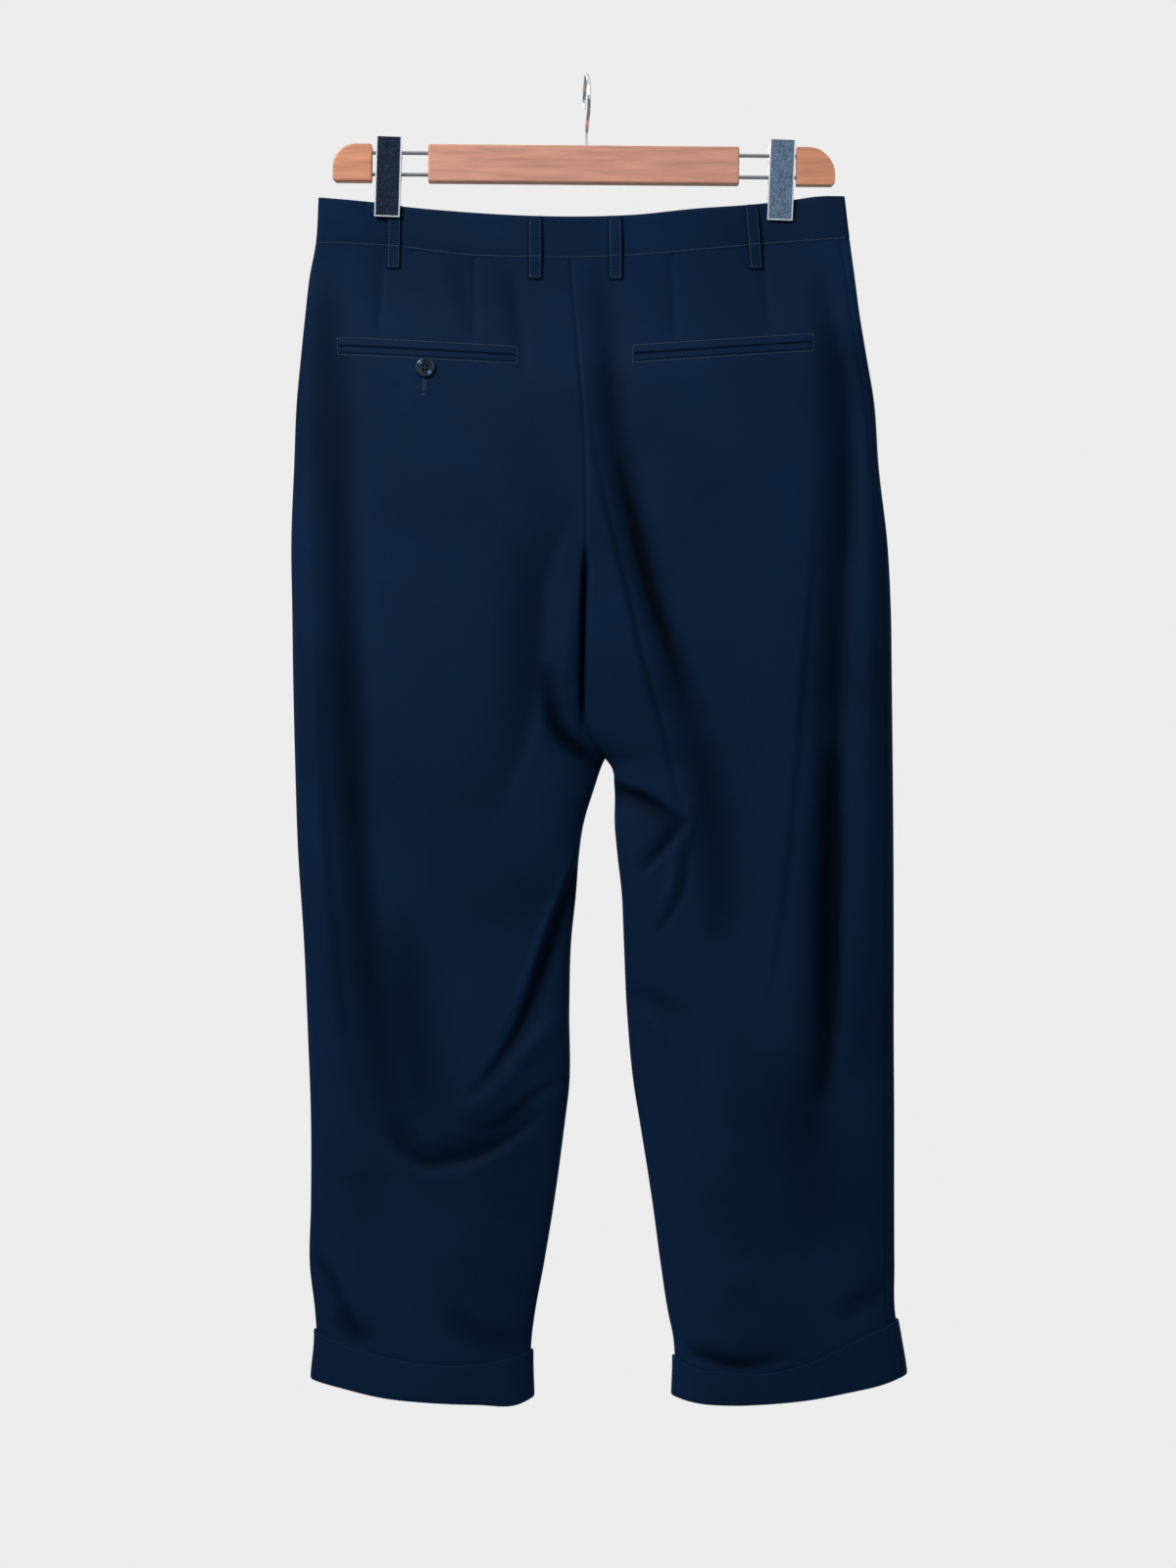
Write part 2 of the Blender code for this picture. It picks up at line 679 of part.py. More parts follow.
def rod_shape(name, start, end, z, radius):
    bpy.ops.mesh.primitive_cylinder_add(vertices=16, radius=radius * MM, depth=abs(end - start) * MM)
    item = bpy.context.object
    item.name = name
    item.rotation_euler = (0, math.radians(90), 0)
    item.location = ((start + end) / 2 * MM, 0, z * MM)
    return item


def cut_with(item, cutter):
    cut = item.modifiers.new("Hole " + cutter.name, "BOOLEAN")
    cut.operation = "DIFFERENCE"
    cut.object = cutter


def as_cutter(item, parent):
    for collection in list(item.users_collection):
        collection.objects.unlink(item)
    CUTTERS.objects.link(item)
    item.hide_render = True
    item.display_type = "WIRE"
    item.parent = parent
    return item


def end_cap(row, material, parent):
    """A wooden end cap with a large round upper corner on its outer side."""
    name = "end_cap_" + row.name
    side, inner, outer, corner = row.side, row.inner, row.outer, row.corner
    top = BAR_Z + BAR_HEIGHT / 2
    bottom = BAR_Z - BAR_HEIGHT / 2
    small = 2.5
    outline = [(inner, bottom), (inner, top), (outer - side * corner, top)]
    for step in range(1, 9):
        turn = math.radians(90 * step / 9)
        outline.append((outer - side * corner * (1 - math.sin(turn)), top - corner * (1 - math.cos(turn))))
    outline += [(outer, top - corner), (outer, bottom + small), (outer - side * small, bottom)]
    curve = bpy.data.curves.new(name + " outline", "CURVE")
    curve.dimensions = "2D"
    curve.fill_mode = "BOTH"
    curve.extrude = BAR_THICKNESS / 2 * MM
    spline = curve.splines.new("POLY")
    spline.points.add(len(outline) - 1)
    for point, (x, z) in zip(spline.points, outline):
        point.co = (x * MM, z * MM, 0, 1)
    spline.use_cyclic_u = True
    shape = bpy.data.objects.new(name + " outline", curve)
    bpy.context.scene.collection.objects.link(shape)
    bpy.context.view_layer.update()
    mesh = bpy.data.meshes.new_from_object(shape.evaluated_get(bpy.context.evaluated_depsgraph_get()))
    work = bmesh.new()
    work.from_mesh(mesh)
    bmesh.ops.remove_doubles(work, verts=work.verts, dist=1e-6)
    bmesh.ops.recalc_face_normals(work, faces=work.faces)
    work.to_mesh(mesh)
    work.free()
    bpy.data.objects.remove(shape)
    item = bpy.data.objects.new(name, mesh)
    item.rotation_euler = (math.radians(90), 0, 0)
    return finish_primitive(item, name, material, bevel=1.5, segments=2, parent=parent)


def hook(material):
    """A wire bent round the rail's space in one plane, with a thin shank into the bar."""
    radius = HOOK_INNER_RADIUS + WIRE_RADIUS
    middle = -HOOK_INNER_RADIUS
    points = []
    for step in range(-10, 15):
        turn = math.radians(10 * step)
        points.append((radius * math.sin(turn), middle + radius * math.cos(turn), WIRE_RADIUS))
    points += [(9.0, -37.4, WIRE_RADIUS), (4.8, -40.2, WIRE_RADIUS), (1.8, -43.4, WIRE_RADIUS)]
    points += [(0.3, -47.0, SHANK_RADIUS), (0.0, -51.0, SHANK_RADIUS), (0.0, SHANK_END_Z, SHANK_RADIUS)]
    curve = bpy.data.curves.new("hook", "CURVE")
    curve.dimensions = "3D"
    curve.bevel_depth = MM
    curve.bevel_resolution = 2
    curve.use_fill_caps = True
    spline = curve.splines.new("POLY")
    spline.points.add(len(points) - 1)
    for point, (y, z, thickness) in zip(spline.points, points):
        point.co = (0, y * MM, z * MM, 1)
        point.radius = thickness
    curve.materials.append(material)
    item = bpy.data.objects.new("hook", curve)
    item.rotation_euler = (0, 0, HOOK_TURN)
    PARTS.objects.link(item)
    return item


def clip(clip_row, material, parent):
    """Two plates that grip the waistband, and the saddle between them on the rods."""
    middle = BAR_Z + CLIP_RISE - CLIP_LENGTH / 2
    for face, jaw, where in ((1, clip_row.back_jaw, "back"), (-1, clip_row.front_jaw, "front")):
        slope = math.atan2(CLIP_SPREAD - jaw, CLIP_LENGTH)
        centre_y = face * ((CLIP_SPREAD + jaw) / 2 + CLIP_THICKNESS / 2)
        name = "clip_plate_" + where + "_" + clip_row.name
        size = (clip_row.width, CLIP_THICKNESS, CLIP_LENGTH / math.cos(slope))
        tilt = (-face * slope, clip_row.turn, 0)
        block(name, size, (clip_row.x, centre_y, middle), material, 0.7, 2, parent, tilt)
    size = (SADDLE_WIDTH, SADDLE_DEPTH, SADDLE_RISE + SADDLE_DROP)
    centre = (clip_row.x, 0.0, BAR_Z + (SADDLE_RISE - SADDLE_DROP) / 2)
    return block("clip_saddle_" + clip_row.name, size, centre, material, 0.8, 1, parent)


def hanger(wood, steel):
    level = bpy.data.objects.new("hanger_level", None)
    level.rotation_euler = (0, BAR_TILT, 0)
    PARTS.objects.link(level)
    # The tilt turns about the origin, so the level is moved back over the bar's middle.
    level.location = (-BAR_Z * math.sin(BAR_TILT) * MM, 0, BAR_Z * (1 - math.cos(BAR_TILT)) * MM)
    length = BAR_LEFT_END - BAR_RIGHT_END
    middle = (BAR_LEFT_END + BAR_RIGHT_END) / 2
    size = (length, BAR_THICKNESS, BAR_HEIGHT)
    bar = block("wood_bar", size, (middle, 0, BAR_Z), wood, 1.5, 2, level)
    saddles = {row.name: clip(row, steel, level) for row in CLIPS}
    for cap_row, bar_end in zip(END_CAPS, (BAR_LEFT_END, BAR_RIGHT_END)):
        side_name = cap_row.name
        toward = cap_row.side
        cap = end_cap(cap_row, wood, level)
        start = bar_end - toward * SOCKET_DEPTH
        end = cap_row.inner + toward * SOCKET_DEPTH
        for row_name, z in (("upper", BAR_Z + ROD_RISE), ("lower", BAR_Z - ROD_RISE)):
            rod = rod_shape("rod", start, end, z, ROD_RADIUS)
            finish_primitive(rod, "rod_" + row_name + "_" + side_name, steel, parent=level)
            hole_name = "rod_hole_" + row_name + "_" + side_name
            hole = rod_shape(hole_name, start - toward * GAP, end + toward * GAP, z, ROD_RADIUS + GAP)
            as_cutter(hole, level)
            for item in (bar, cap, saddles[side_name]):
                cut_with(item, hole)
    bpy.ops.mesh.primitive_cylinder_add(vertices=16, radius=(SHANK_RADIUS + GAP) * MM, depth=20 * MM)
    shank_hole = bpy.context.object
    shank_hole.name = "shank_hole"
    shank_hole.location = (0, 0, (SHANK_END_Z - GAP + 10.0) * MM)
    as_cutter(shank_hole, None)
    cut_with(bar, shank_hole)


# ---------------------------------------------------------------- the whole


def finish_of(name, colour, roughness, metallic=0.0):
    material = bpy.data.materials.new(name)
    material.use_nodes = True
    surface = material.node_tree.nodes["Principled BSDF"]
    surface.inputs["Base Color"].default_value = (*colour, 1.0)
    surface.inputs["Roughness"].default_value = roughness
    surface.inputs["Metallic"].default_value = metallic
    material.diffuse_color = (*colour, 1.0)
    return material


def trousers():
    cloth = finish_of("navy cloth", (0.012, 0.028, 0.06), 0.75)
    horn = finish_of("navy button", (0.02, 0.03, 0.05), 0.35)
    for side, side_name in ((1, "left"), (-1, "right")):
        leg_panel("back_" + side_name, side, 1, BACK_COLUMNS, cloth)
        leg_panel("front_" + side_name, side, -1, FRONT_COLUMNS, cloth)
        cuff("cuff_" + side_name, side, cloth)
    waistband(cloth)
    shell = ("back_left", "back_right", "front_left", "front_right")
    bands = ("waistband_back", "waistband_front_left", "waistband_front_right")
    tree = cloth_tree(shell + bands)
    trims(tree, cloth)
    button("pocket_button", 135.7, -248.5, 1, tree, horn)
    button("waist_button", -9.0, -137.0, -1, tree, horn)


def waistband(cloth):
    """The band's back, and its two fronts with the left one's tab lapped over the right one."""
    corner = [(BAND_LEFT_END - BAND_RIGHT_END) * step for step in BAND_CORNER]
    left_turn = [BAND_LEFT_END - step for step in corner]
    right_turn = [BAND_RIGHT_END + step for step in corner]
    flat = list(BAND_COLUMNS)
    band_piece("waistband_back", 1, left_turn + flat + right_turn[::-1], cloth)
    tab = [TAB_START, TAB_START - TAB_RISE, TAB_START - TAB_LENGTH]
    front_left = [x for x in flat if x > 20] + tab
    band_piece("waistband_front_left", -1, left_turn + front_left, cloth, BAND_WALL + GAP, TAB_START)
    front_right = [9.0] + [x for x in flat if x < 0]
    band_piece("waistband_front_right", -1, front_right + right_turn[::-1], cloth)


def trims(tree, cloth):
    for loop in LOOPS:
        belt_loop(loop, tree, cloth)
    for jet in BACK_JETS:
        pocket_jet(jet, tree, cloth)
    side_pocket_edge("side_pocket_edge_left", 1, tree, cloth)
    side_pocket_edge("side_pocket_edge_right", -1, tree, cloth)
    fly_shield(tree, cloth)


def build():
    for item in list(bpy.data.objects):
        bpy.data.objects.remove(item, do_unlink=True)
    wood = finish_of("hanger wood", (0.60, 0.28, 0.16), 0.45)
    steel = finish_of("polished steel", (0.75, 0.76, 0.78), 0.15, 1.0)
    bpy.context.scene.collection.children.link(PARTS)
    bpy.context.scene.collection.children.link(CUTTERS)
    trousers()
    hanger(wood, steel)
    hook(steel)


PARTS = bpy.data.collections.new("dress_trousers_on_hanger")
CUTTERS = bpy.data.collections.new("cutters")
build()
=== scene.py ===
"""Pleated dress trousers on a clip hanger: the cloth, its stitching and the finish of every piece."""

import math
from collections import namedtuple

import bmesh
import bpy
import numpy as np
from bpy.props import FloatProperty, FloatVectorProperty
from mathutils import Matrix, Vector
from mathutils.bvhtree import BVHTree


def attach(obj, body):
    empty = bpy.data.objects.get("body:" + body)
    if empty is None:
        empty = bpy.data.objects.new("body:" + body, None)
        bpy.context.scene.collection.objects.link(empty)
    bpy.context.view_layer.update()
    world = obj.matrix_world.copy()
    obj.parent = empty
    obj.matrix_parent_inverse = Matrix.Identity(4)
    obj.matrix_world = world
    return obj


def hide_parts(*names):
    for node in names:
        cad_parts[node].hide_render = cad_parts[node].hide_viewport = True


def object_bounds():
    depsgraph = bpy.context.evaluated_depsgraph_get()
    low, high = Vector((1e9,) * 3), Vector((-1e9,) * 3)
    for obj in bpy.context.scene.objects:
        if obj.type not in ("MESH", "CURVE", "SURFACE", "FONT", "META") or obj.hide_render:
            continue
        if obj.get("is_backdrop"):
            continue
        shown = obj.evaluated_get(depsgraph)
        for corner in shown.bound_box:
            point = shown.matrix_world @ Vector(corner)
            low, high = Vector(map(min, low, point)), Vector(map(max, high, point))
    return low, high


bl_info = {
    "name": "Pleated Dress Trousers",
    "version": (1, 0, 0),
    "blender": (4, 5, 0),
    "location": "3D View > Sidebar > Trousers",
    "description": "Builds pleated dress trousers with turned-up cuffs, clipped to a trouser hanger",
    "category": "Add Mesh",
}

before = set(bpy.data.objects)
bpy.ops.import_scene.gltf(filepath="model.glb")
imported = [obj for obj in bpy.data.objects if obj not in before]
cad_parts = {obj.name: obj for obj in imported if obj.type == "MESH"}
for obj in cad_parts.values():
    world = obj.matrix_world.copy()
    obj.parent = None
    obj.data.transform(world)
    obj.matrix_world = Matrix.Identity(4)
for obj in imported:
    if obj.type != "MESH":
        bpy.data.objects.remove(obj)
CAD_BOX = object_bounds()

# Sizes are in millimetres, in the frame's axes, and meshes are made in metres.
MM = 0.001
WALL = 1.1
BAND_WALL = 1.8
TRIM_WALL = 0.8
BAND_LAP = 0.4
HEM_GAP = 0.2
SIDE_TOP_Z = -145.0
CENTRE_TOP_Z = -155.0
HEM_Z = -1110.0
CROTCH_Z = -577.0
CROTCH_RISE = 150.0
BAND_BLEND = 120.0
LEG_ROUNDNESS = 2.4
BAND_ROUNDNESS = 8.0
EDGE_FADE = 10.0
# The most that the folds' painted shade may darken the cloth's colour
DEEPEST_SHADE = 0.88
FAR = 200.0
CUFF_WALL = 1.2
CUFF_EASE = 1.0
LOOP_WIDTH = 12.0

# The fly and the waistband's ends
FLY_END_Z = -330.0
FLY_OVERLAP = 8.0
FLY_LIFT = 0.6
FLY_SHIELD_TOP_Z = -158.0
FLY_STITCH_OUT = 30.0
FLY_CURVE_Z = -290.0
BAND_LEFT_END = 229.5
BAND_RIGHT_END = -222.5
BAND_HEIGHT = 36.0
TAB_END_X = -21.0
TAB_START_X = 13.0
TAB_RISE = 14.0
TAB_LIFT = 0.8
UNDERLAP_END_X = 9.0

# The side pockets' edges
POCKET_EDGE_FOOT_Z = -322.0
POCKET_EDGE_WIDTH = 9.0
POCKET_EDGE_TOP_REACH = 40.0
POCKET_EDGE_FOOT_REACH = 6.0

# Stitches and hard trims
SEAM_STITCH_RISE = 2.0
JET_STITCH_OUT = 4.2
LOOP_STITCH_X = 4.3
PROUD = 0.12
BUTTON_DEPTH = 2.2
HOLE_RADIUS = 1.15
HOLE_CIRCLE = 2.2
RIM_WIDTH = 1.0 * MM

# How finely the cloth is laid out
PANEL_COLUMNS = 130
PANEL_ROWS = 340
ROWS_ABOVE_CROTCH = 0.46
LAP_COLUMNS = 6
BAND_COLUMNS = 150
CUFF_COLUMNS = 90
PATH_POINTS = 48

Band = namedtuple("Band", "x top seam depth")
BAND = (
    Band(230.0, -101.8, -141.9, 4.0),
    Band(205.0, -103.9, -142.6, 4.2),
    Band(182.0, -105.9, -143.7, 2.9),
    Band(177.0, -106.3, -143.9, 2.4),
    Band(157.0, -109.4, -145.5, 2.4),
    Band(150.0, -110.3, -146.3, 3.0),
    Band(112.0, -114.4, -151.9, 7.0),
    Band(50.0, -118.6, -155.2, 10.0),
    Band(9.5, -119.5, -155.6, 11.0),
    Band(-40.0, -117.9, -153.6, 10.5),
    Band(-94.0, -112.0, -148.6, 7.5),
    Band(-136.0, -108.4, -144.4, 3.6),
    Band(-151.0, -106.8, -142.9, 2.4),
    Band(-176.0, -103.9, -141.0, 2.4),
    Band(-198.0, -101.2, -139.6, 4.2),
    Band(-222.0, -100.9, -138.2, 4.0),
)

Outline = namedtuple("Outline", "z left right")
OUTLINE = (
    Outline(-100.0, 227.0, -218.5),
    Outline(-142.0, 229.6, -223.5),
    Outline(-168.0, 234.5, -227.0),
    Outline(-200.0, 238.2, -231.2),
    Outline(-240.0, 242.3, -237.8),
    Outline(-272.0, 245.3, -243.2),
    Outline(-330.0, 247.8, -247.5),
    Outline(-396.0, 250.2, -255.0),
    Outline(-450.0, 249.4, -257.8),
    Outline(-509.0, 248.6, -258.6),
    Outline(-582.0, 246.9, -259.4),
    Outline(-656.0, 244.4, -260.0),
    Outline(-731.0, 239.5, -260.2),
    Outline(-810.0, 236.1, -260.2),
    Outline(-880.0, 233.6, -260.6),
    Outline(-955.0, 233.6, -260.6),
    Outline(-1005.0, 234.5, -260.8),
    Outline(-1047.0, 229.8, -261.5),
    Outline(-1065.0, 228.8, -264.5),
    Outline(-1096.0, 231.5, -269.5),
    Outline(-1125.0, 233.5, -271.5),
)

CentreSeam = namedtuple("CentreSeam", "z x")
CENTRE_SEAM = (
    CentreSeam(-100.0, 13.0),
    CentreSeam(-160.0, 12.9),
    CentreSeam(-204.0, 9.5),
    CentreSeam(-270.0, 3.7),
    CentreSeam(-330.0, 0.6),
    CentreSeam(-416.0, 0.6),
    CentreSeam(-474.0, 2.6),
    CentreSeam(-520.0, 3.0),
    CentreSeam(-548.0, -0.5),
    CentreSeam(-565.0, -7.5),
    CentreSeam(-577.0, -15.8),
)

Inseam = namedtuple("Inseam", "z left right")
INSEAM = (
    Inseam(-577.0, -15.6, -16.0),
    Inseam(-584.0, -12.5, -21.0),
    Inseam(-600.0, -7.2, -23.4),
    Inseam(-634.0, 2.9, -23.8),
    Inseam(-660.0, 6.5, -26.2),
    Inseam(-689.0, 8.7, -29.5),
    Inseam(-731.0, 12.9, -31.4),
    Inseam(-789.0, 14.5, -34.0),
    Inseam(-856.0, 14.8, -40.3),
    Inseam(-881.0, 17.8, -44.4),
    Inseam(-955.0, 27.8, -56.0),
    Inseam(-1005.0, 36.1, -62.7),
    Inseam(-1047.0, 43.8, -69.2),
    Inseam(-1065.0, 46.2, -73.0),
    Inseam(-1125.0, 46.0, -73.4),
)

Fullness = namedtuple("Fullness", "z depth")
FULLNESS = (
    Fullness(-100.0, 12.0),
    Fullness(-150.0, 13.0),
    Fullness(-200.0, 17.0),
    Fullness(-260.0, 23.0),
    Fullness(-330.0, 28.0),
    Fullness(-420.0, 31.0),
    Fullness(-500.0, 32.0),
    Fullness(-577.0, 31.0),
    Fullness(-650.0, 28.0),
    Fullness(-750.0, 25.0),
    Fullness(-850.0, 23.0),
    Fullness(-950.0, 21.0),
    Fullness(-1050.0, 19.5),
    Fullness(-1125.0, 19.5),
)

Hem = namedtuple("Hem", "x cuff_top bottom")
LEFT_HEM = (
    Hem(44.0, -1076.0, -1115.5),
    Hem(58.0, -1080.5, -1121.5),
    Hem(92.0, -1086.5, -1121.0),
    Hem(135.0, -1086.5, -1119.0),
    Hem(170.0, -1080.0, -1115.0),
    Hem(212.0, -1068.5, -1106.0),
    Hem(234.0, -1059.0, -1101.0),
)
RIGHT_HEM = (
    Hem(-272.0, -1050.5, -1097.0),
    Hem(-250.0, -1059.0, -1104.5),
    Hem(-217.0, -1073.0, -1111.5),
    Hem(-186.0, -1086.0, -1117.0),
    Hem(-150.0, -1094.0, -1120.5),
    Hem(-120.0, -1093.0, -1121.5),
    Hem(-90.0, -1090.0, -1119.5),
    Hem(-71.0, -1080.0, -1114.5),
)

# A fold runs along its path. A positive depth is a trough and a negative one a ridge. Its width is
# on each side of the path: near is towards -X where the path runs down, and far towards +X. Shade
# is painted shade: how much the fold darkens the cloth's colour where it would lie in shade.
Fold = namedtuple("Fold", "name near far depth shade path")
BACK_FOLDS = (
    Fold("left side trough", 14, 17, 6.5, 0.70,
         ((218, -165), (214, -210), (212, -280), (209, -350), (206, -410), (203, -470), (199, -540),
          (196, -600), (191, -670), (186, -725), (180, -780), (172, -835), (163, -875), (150, -908))),
    Fold("left outer line", 6, 6, 1.6, 0.20,
         ((224, -500), (219, -600), (213, -690), (206, -770), (196, -840), (180, -900))),
    Fold("left side roll", 8, 10, -2.4, 0.0,
         ((234, -190), (235, -350), (232, -500), (226, -620), (219, -740), (210, -850))),
    Fold("left knee smile", 17, 5, 5.5, 0.62,
         ((166, -880), (155, -905), (134, -918), (104, -915), (80, -906), (60, -893), (36, -874))),
    Fold("left inner drag line", 11, 4, 6.0, 0.75,
         ((2, -648), (12, -680), (22, -707), (31, -733), (39, -758), (48, -784), (60, -810), (76, -836),
          (98, -862))),
    Fold("left drag line lip", 3, 4, -1.6, 0.0,
         ((0, -634), (12, -664), (25, -695), (37, -725), (47, -752), (58, -780), (76, -812))),
    Fold("left shin roll", 9, 9, -2.8, 0.0, ((16, -792), (42, -815), (62, -838), (84, -862), (106, -876))),
    Fold("left roll shadow", 5, 5, 2.2, 0.34, ((16, -846), (38, -857), (58, -874), (80, -887), (108, -882))),
    Fold("left inner knee", 24, 20, 1.6, 0.38, ((152, -700), (150, -780), (138, -850), (116, -896))),
    Fold("left seat shadow", 9, 28, 4.0, 0.42,
         ((8, -362), (30, -402), (40, -440), (42, -480), (46, -520), (58, -575), (84, -640))),
    Fold("left fork roll", 5, 8, -2.0, 0.0, ((13, -430), (14, -480), (14, -515))),
    Fold("left fork hollow", 8, 7, 7.0, 0.85,
         ((34, -498), (30, -530), (23, -555), (8, -570), (-6, -580), (-20, -588))),
    Fold("open seam", 2.2, 2.6, 3.0, 0.85, ((0, -398), (1.5, -430), (2.5, -470), (3.2, -510), (4, -560))),
    Fold("left waist shade", 70, 70, 0.0, 0.12, ((120, -150), (112, -240))),
    Fold("right waist shade", 70, 70, 0.0, 0.12, ((-100, -150), (-100, -240))),
    Fold("left seat line", 6, 9, 1.8, 0.18, ((66, -165), (59, -205), (50, -262))),
    Fold("left waist dip", 8, 8, 1.2, 0.12, ((114, -160), (105, -188), (97, -222))),
    Fold("left shin hollow", 16, 16, 2.0, 0.10, ((186, -925), (176, -975), (160, -1030))),
    Fold("left hem diagonal", 5, 7, 2.0, 0.34, ((238, -992), (218, -1012), (204, -1040), (190, -1074))),
    Fold("left hem shade", 10, 12, 2.4, 0.34, ((212, -1046), (180, -1068))),
    Fold("left cuff sink", 9, 13, 2.8, 0.40, ((118, -1046), (88, -1062), (50, -1070))),
    Fold("right side trough", 10, 17, 7.5, 0.64,
         ((-190, -146), (-204, -200), (-213, -245), (-219, -300), (-219, -370), (-215, -430), (-211, -520),
          (-208, -600), (-207, -690), (-205, -770), (-200, -840), (-190, -910))),
    Fold("right trough heart", 9, 15, 2.4, 0.62, ((-209, -560), (-207, -680), (-205, -780), (-199, -870))),
    Fold("right side roll", 8, 8, -2.2, 0.0, ((-238, -250), (-240, -400), (-238, -560), (-236, -760))),
    Fold("right pressed crease", 7, 2.4, 1.5, 0.26,
         ((-196, -340), (-190, -420), (-185, -480), (-180, -540), (-175, -600), (-170, -660), (-163, -720),
          (-152, -790))),
    Fold("right drag line", 13, 13, 6.0, 0.62,
         ((-12, -160), (-17, -210), (-20, -255), (-25, -305), (-34, -355), (-45, -400), (-57, -448),
          (-70, -485), (-84, -530), (-98, -580), (-112, -650))),
    Fold("right drag line core", 6, 5, 1.4, 0.40,
         ((-26, -320), (-40, -380), (-52, -430), (-66, -475), (-84, -530))),
    Fold("right fine crease", 2.6, 3.2, 1.2, 0.45,
         ((-4, -290), (-11, -342), (-25, -400), (-36, -444), (-46, -490), (-57, -530), (-67, -566),
          (-80, -632))),
    Fold("right thigh shade", 22, 16, 2.0, 0.45, ((-92, -560), (-104, -620), (-112, -690), (-104, -740))),
    Fold("right pinch top", 3.5, 13, 5.5, 0.85,
         ((-14, -590), (-30, -602), (-46, -608), (-62, -618), (-82, -634))),
    Fold("right pinch foot", 3, 8, 3.6, 0.60, ((-86, -628), (-66, -651), (-46, -674))),
    Fold("right pinch tip", 4, 4, -2.2, 0.0, ((-86, -612), (-86, -634), (-84, -656))),
    Fold("right small crease", 3, 4, 2.0, 0.48, ((-84, -640), (-82, -680), (-73, -704), (-58, -724))),
    Fold("right small lip", 4, 4, -1.5, 0.0, ((-74, -648), (-72, -680), (-62, -704))),
    Fold("right inner dip", 9, 9, 1.6, 0.18, ((-30, -772), (-58, -782), (-92, -798))),
    Fold("right inner lip", 5, 5, -1.3, 0.0, ((-30, -794), (-56, -802), (-84, -832))),
    Fold("right calf shade", 34, 30, 2.2, 0.40, ((-178, -820), (-184, -900), (-192, -1000))),
    Fold("right calf roll", 16, 16, -2.0, 0.0, ((-104, -760), (-112, -850), (-122, -950))),
    Fold("right hem dent", 9, 9, 2.6, 0.36, ((-256, -1022), (-234, -1034), (-212, -1050))),
    Fold("right cuff sink", 9, 4, 3.0, 0.75, ((-82, -1074), (-108, -1084), (-138, -1088), (-172, -1078))),
    Fold("right side seam", 1.4, 1.4, 0.4, 0.40,
         ((-243, -250), (-249, -330), (-251, -430), (-252.5, -560), (-253.5, -760), (-254, -900),
          (-256, -1060))),
)
FRONT_FOLDS = (
    Fold("left thigh sway", 14, 18, 6.0, 0.45,
         ((204, -200), (198, -340), (192, -470), (181, -640), (166, -820))),
    Fold("left fork drag line", 10, 12, 5.0, 0.45, ((6, -420), (20, -510), (46, -580), (74, -660))),
    Fold("left fork crease", 3, 5, 1.4, 0.30, ((12, -450), (34, -530), (64, -610))),
    Fold("left knee buckle", 6, 12, 4.0, 0.45, ((34, -836), (76, -868), (124, -880), (176, -856))),
    Fold("left hip drag line", 8, 12, 2.6, 0.25, ((182, -165), (170, -245), (146, -335))),
    Fold("left inner roll", 8, 8, -2.0, 0.0, ((40, -650), (46, -740), (52, -820))),
    Fold("left shin shade", 24, 24, 2.0, 0.20, ((176, -860), (168, -930), (160, -1010))),
    Fold("left cuff sink", 5, 12, 3.0, 0.40, ((74, -1056), (124, -1074), (178, -1058))),
    Fold("right thigh sway", 18, 14, 6.0, 0.45,
         ((-212, -190), (-206, -330), (-200, -490), (-190, -670), (-178, -860))),
    Fold("right fork drag line", 12, 10, 5.0, 0.45, ((-14, -420), (-38, -515), (-66, -600), (-90, -680))),
    Fold("right fork crease", 5, 3, 1.4, 0.30, ((-22, -440), (-52, -530), (-82, -620))),
    Fold("right knee buckle", 12, 6, 3.6, 0.40, ((-56, -852), (-104, -888), (-150, -892), (-206, -860))),
    Fold("right hip drag line", 12, 8, 2.6, 0.25, ((-176, -165), (-165, -240), (-144, -320))),
    Fold("right shin shade", 24, 24, 2.0, 0.20, ((-180, -880), (-176, -950), (-170, -1020))),
    Fold("right cuff sink", 12, 5, 3.0, 0.40, ((-90, -1072), (-150, -1082), (-210, -1062))),
)

# A dart is a pinched seam down from the waist.
Dart = namedtuple("Dart", "top_x top_z foot_x foot_z")
DARTS = (
    Dart(170.6, -145.0, 175.6, -216.0),
    Dart(95.0, -153.0, 94.6, -226.5),
    Dart(-71.8, -151.0, -74.3, -223.0),
    Dart(-149.8, -143.0, -154.0, -213.0),
)

Pleat = namedtuple("Pleat", "fraction height length")
PLEATS = (Pleat(0.50, 3.6, 200.0), Pleat(0.37, 2.6, 150.0))
PLEAT_EDGE = 0.012
PLEAT_SPREAD = 0.09
CREASE_HEIGHT = 2.4
CREASE_WIDTH = 0.022

Jet = namedtuple("Jet", "name outer_x inner_x outer_z inner_z height")
BACK_JETS = (
    Jet("back_pocket_upper_jet_left", 209.0, 60.0, -225.6, -234.2, 5.6),
    Jet("back_pocket_lower_jet_left", 209.0, 60.0, -231.8, -240.2, 5.6),
    Jet("back_pocket_upper_jet_right", -190.0, -40.0, -222.6, -233.2, 5.6),
    Jet("back_pocket_lower_jet_right", -190.0, -40.0, -228.8, -239.4, 5.6),
)

Loop = namedtuple("Loop", "name face top_x foot_x foot_z bow")
LOOPS = (
    Loop("belt_loop_back_outer_left", 1, 162.5, 163.5, -162.0, 0.2),
    Loop("belt_loop_back_inner_left", 1, 43.5, 43.5, -172.0, 1.3),
    Loop("belt_loop_back_inner_right", 1, -24.0, -24.5, -172.5, 1.5),
    Loop("belt_loop_back_outer_right", 1, -139.5, -143.5, -162.5, 1.0),
    Loop("belt_loop_front_left", -1, 104.0, 104.0, -166.0, 1.3),
    Loop("belt_loop_front_right", -1, -112.0, -112.0, -163.0, 1.3),
)

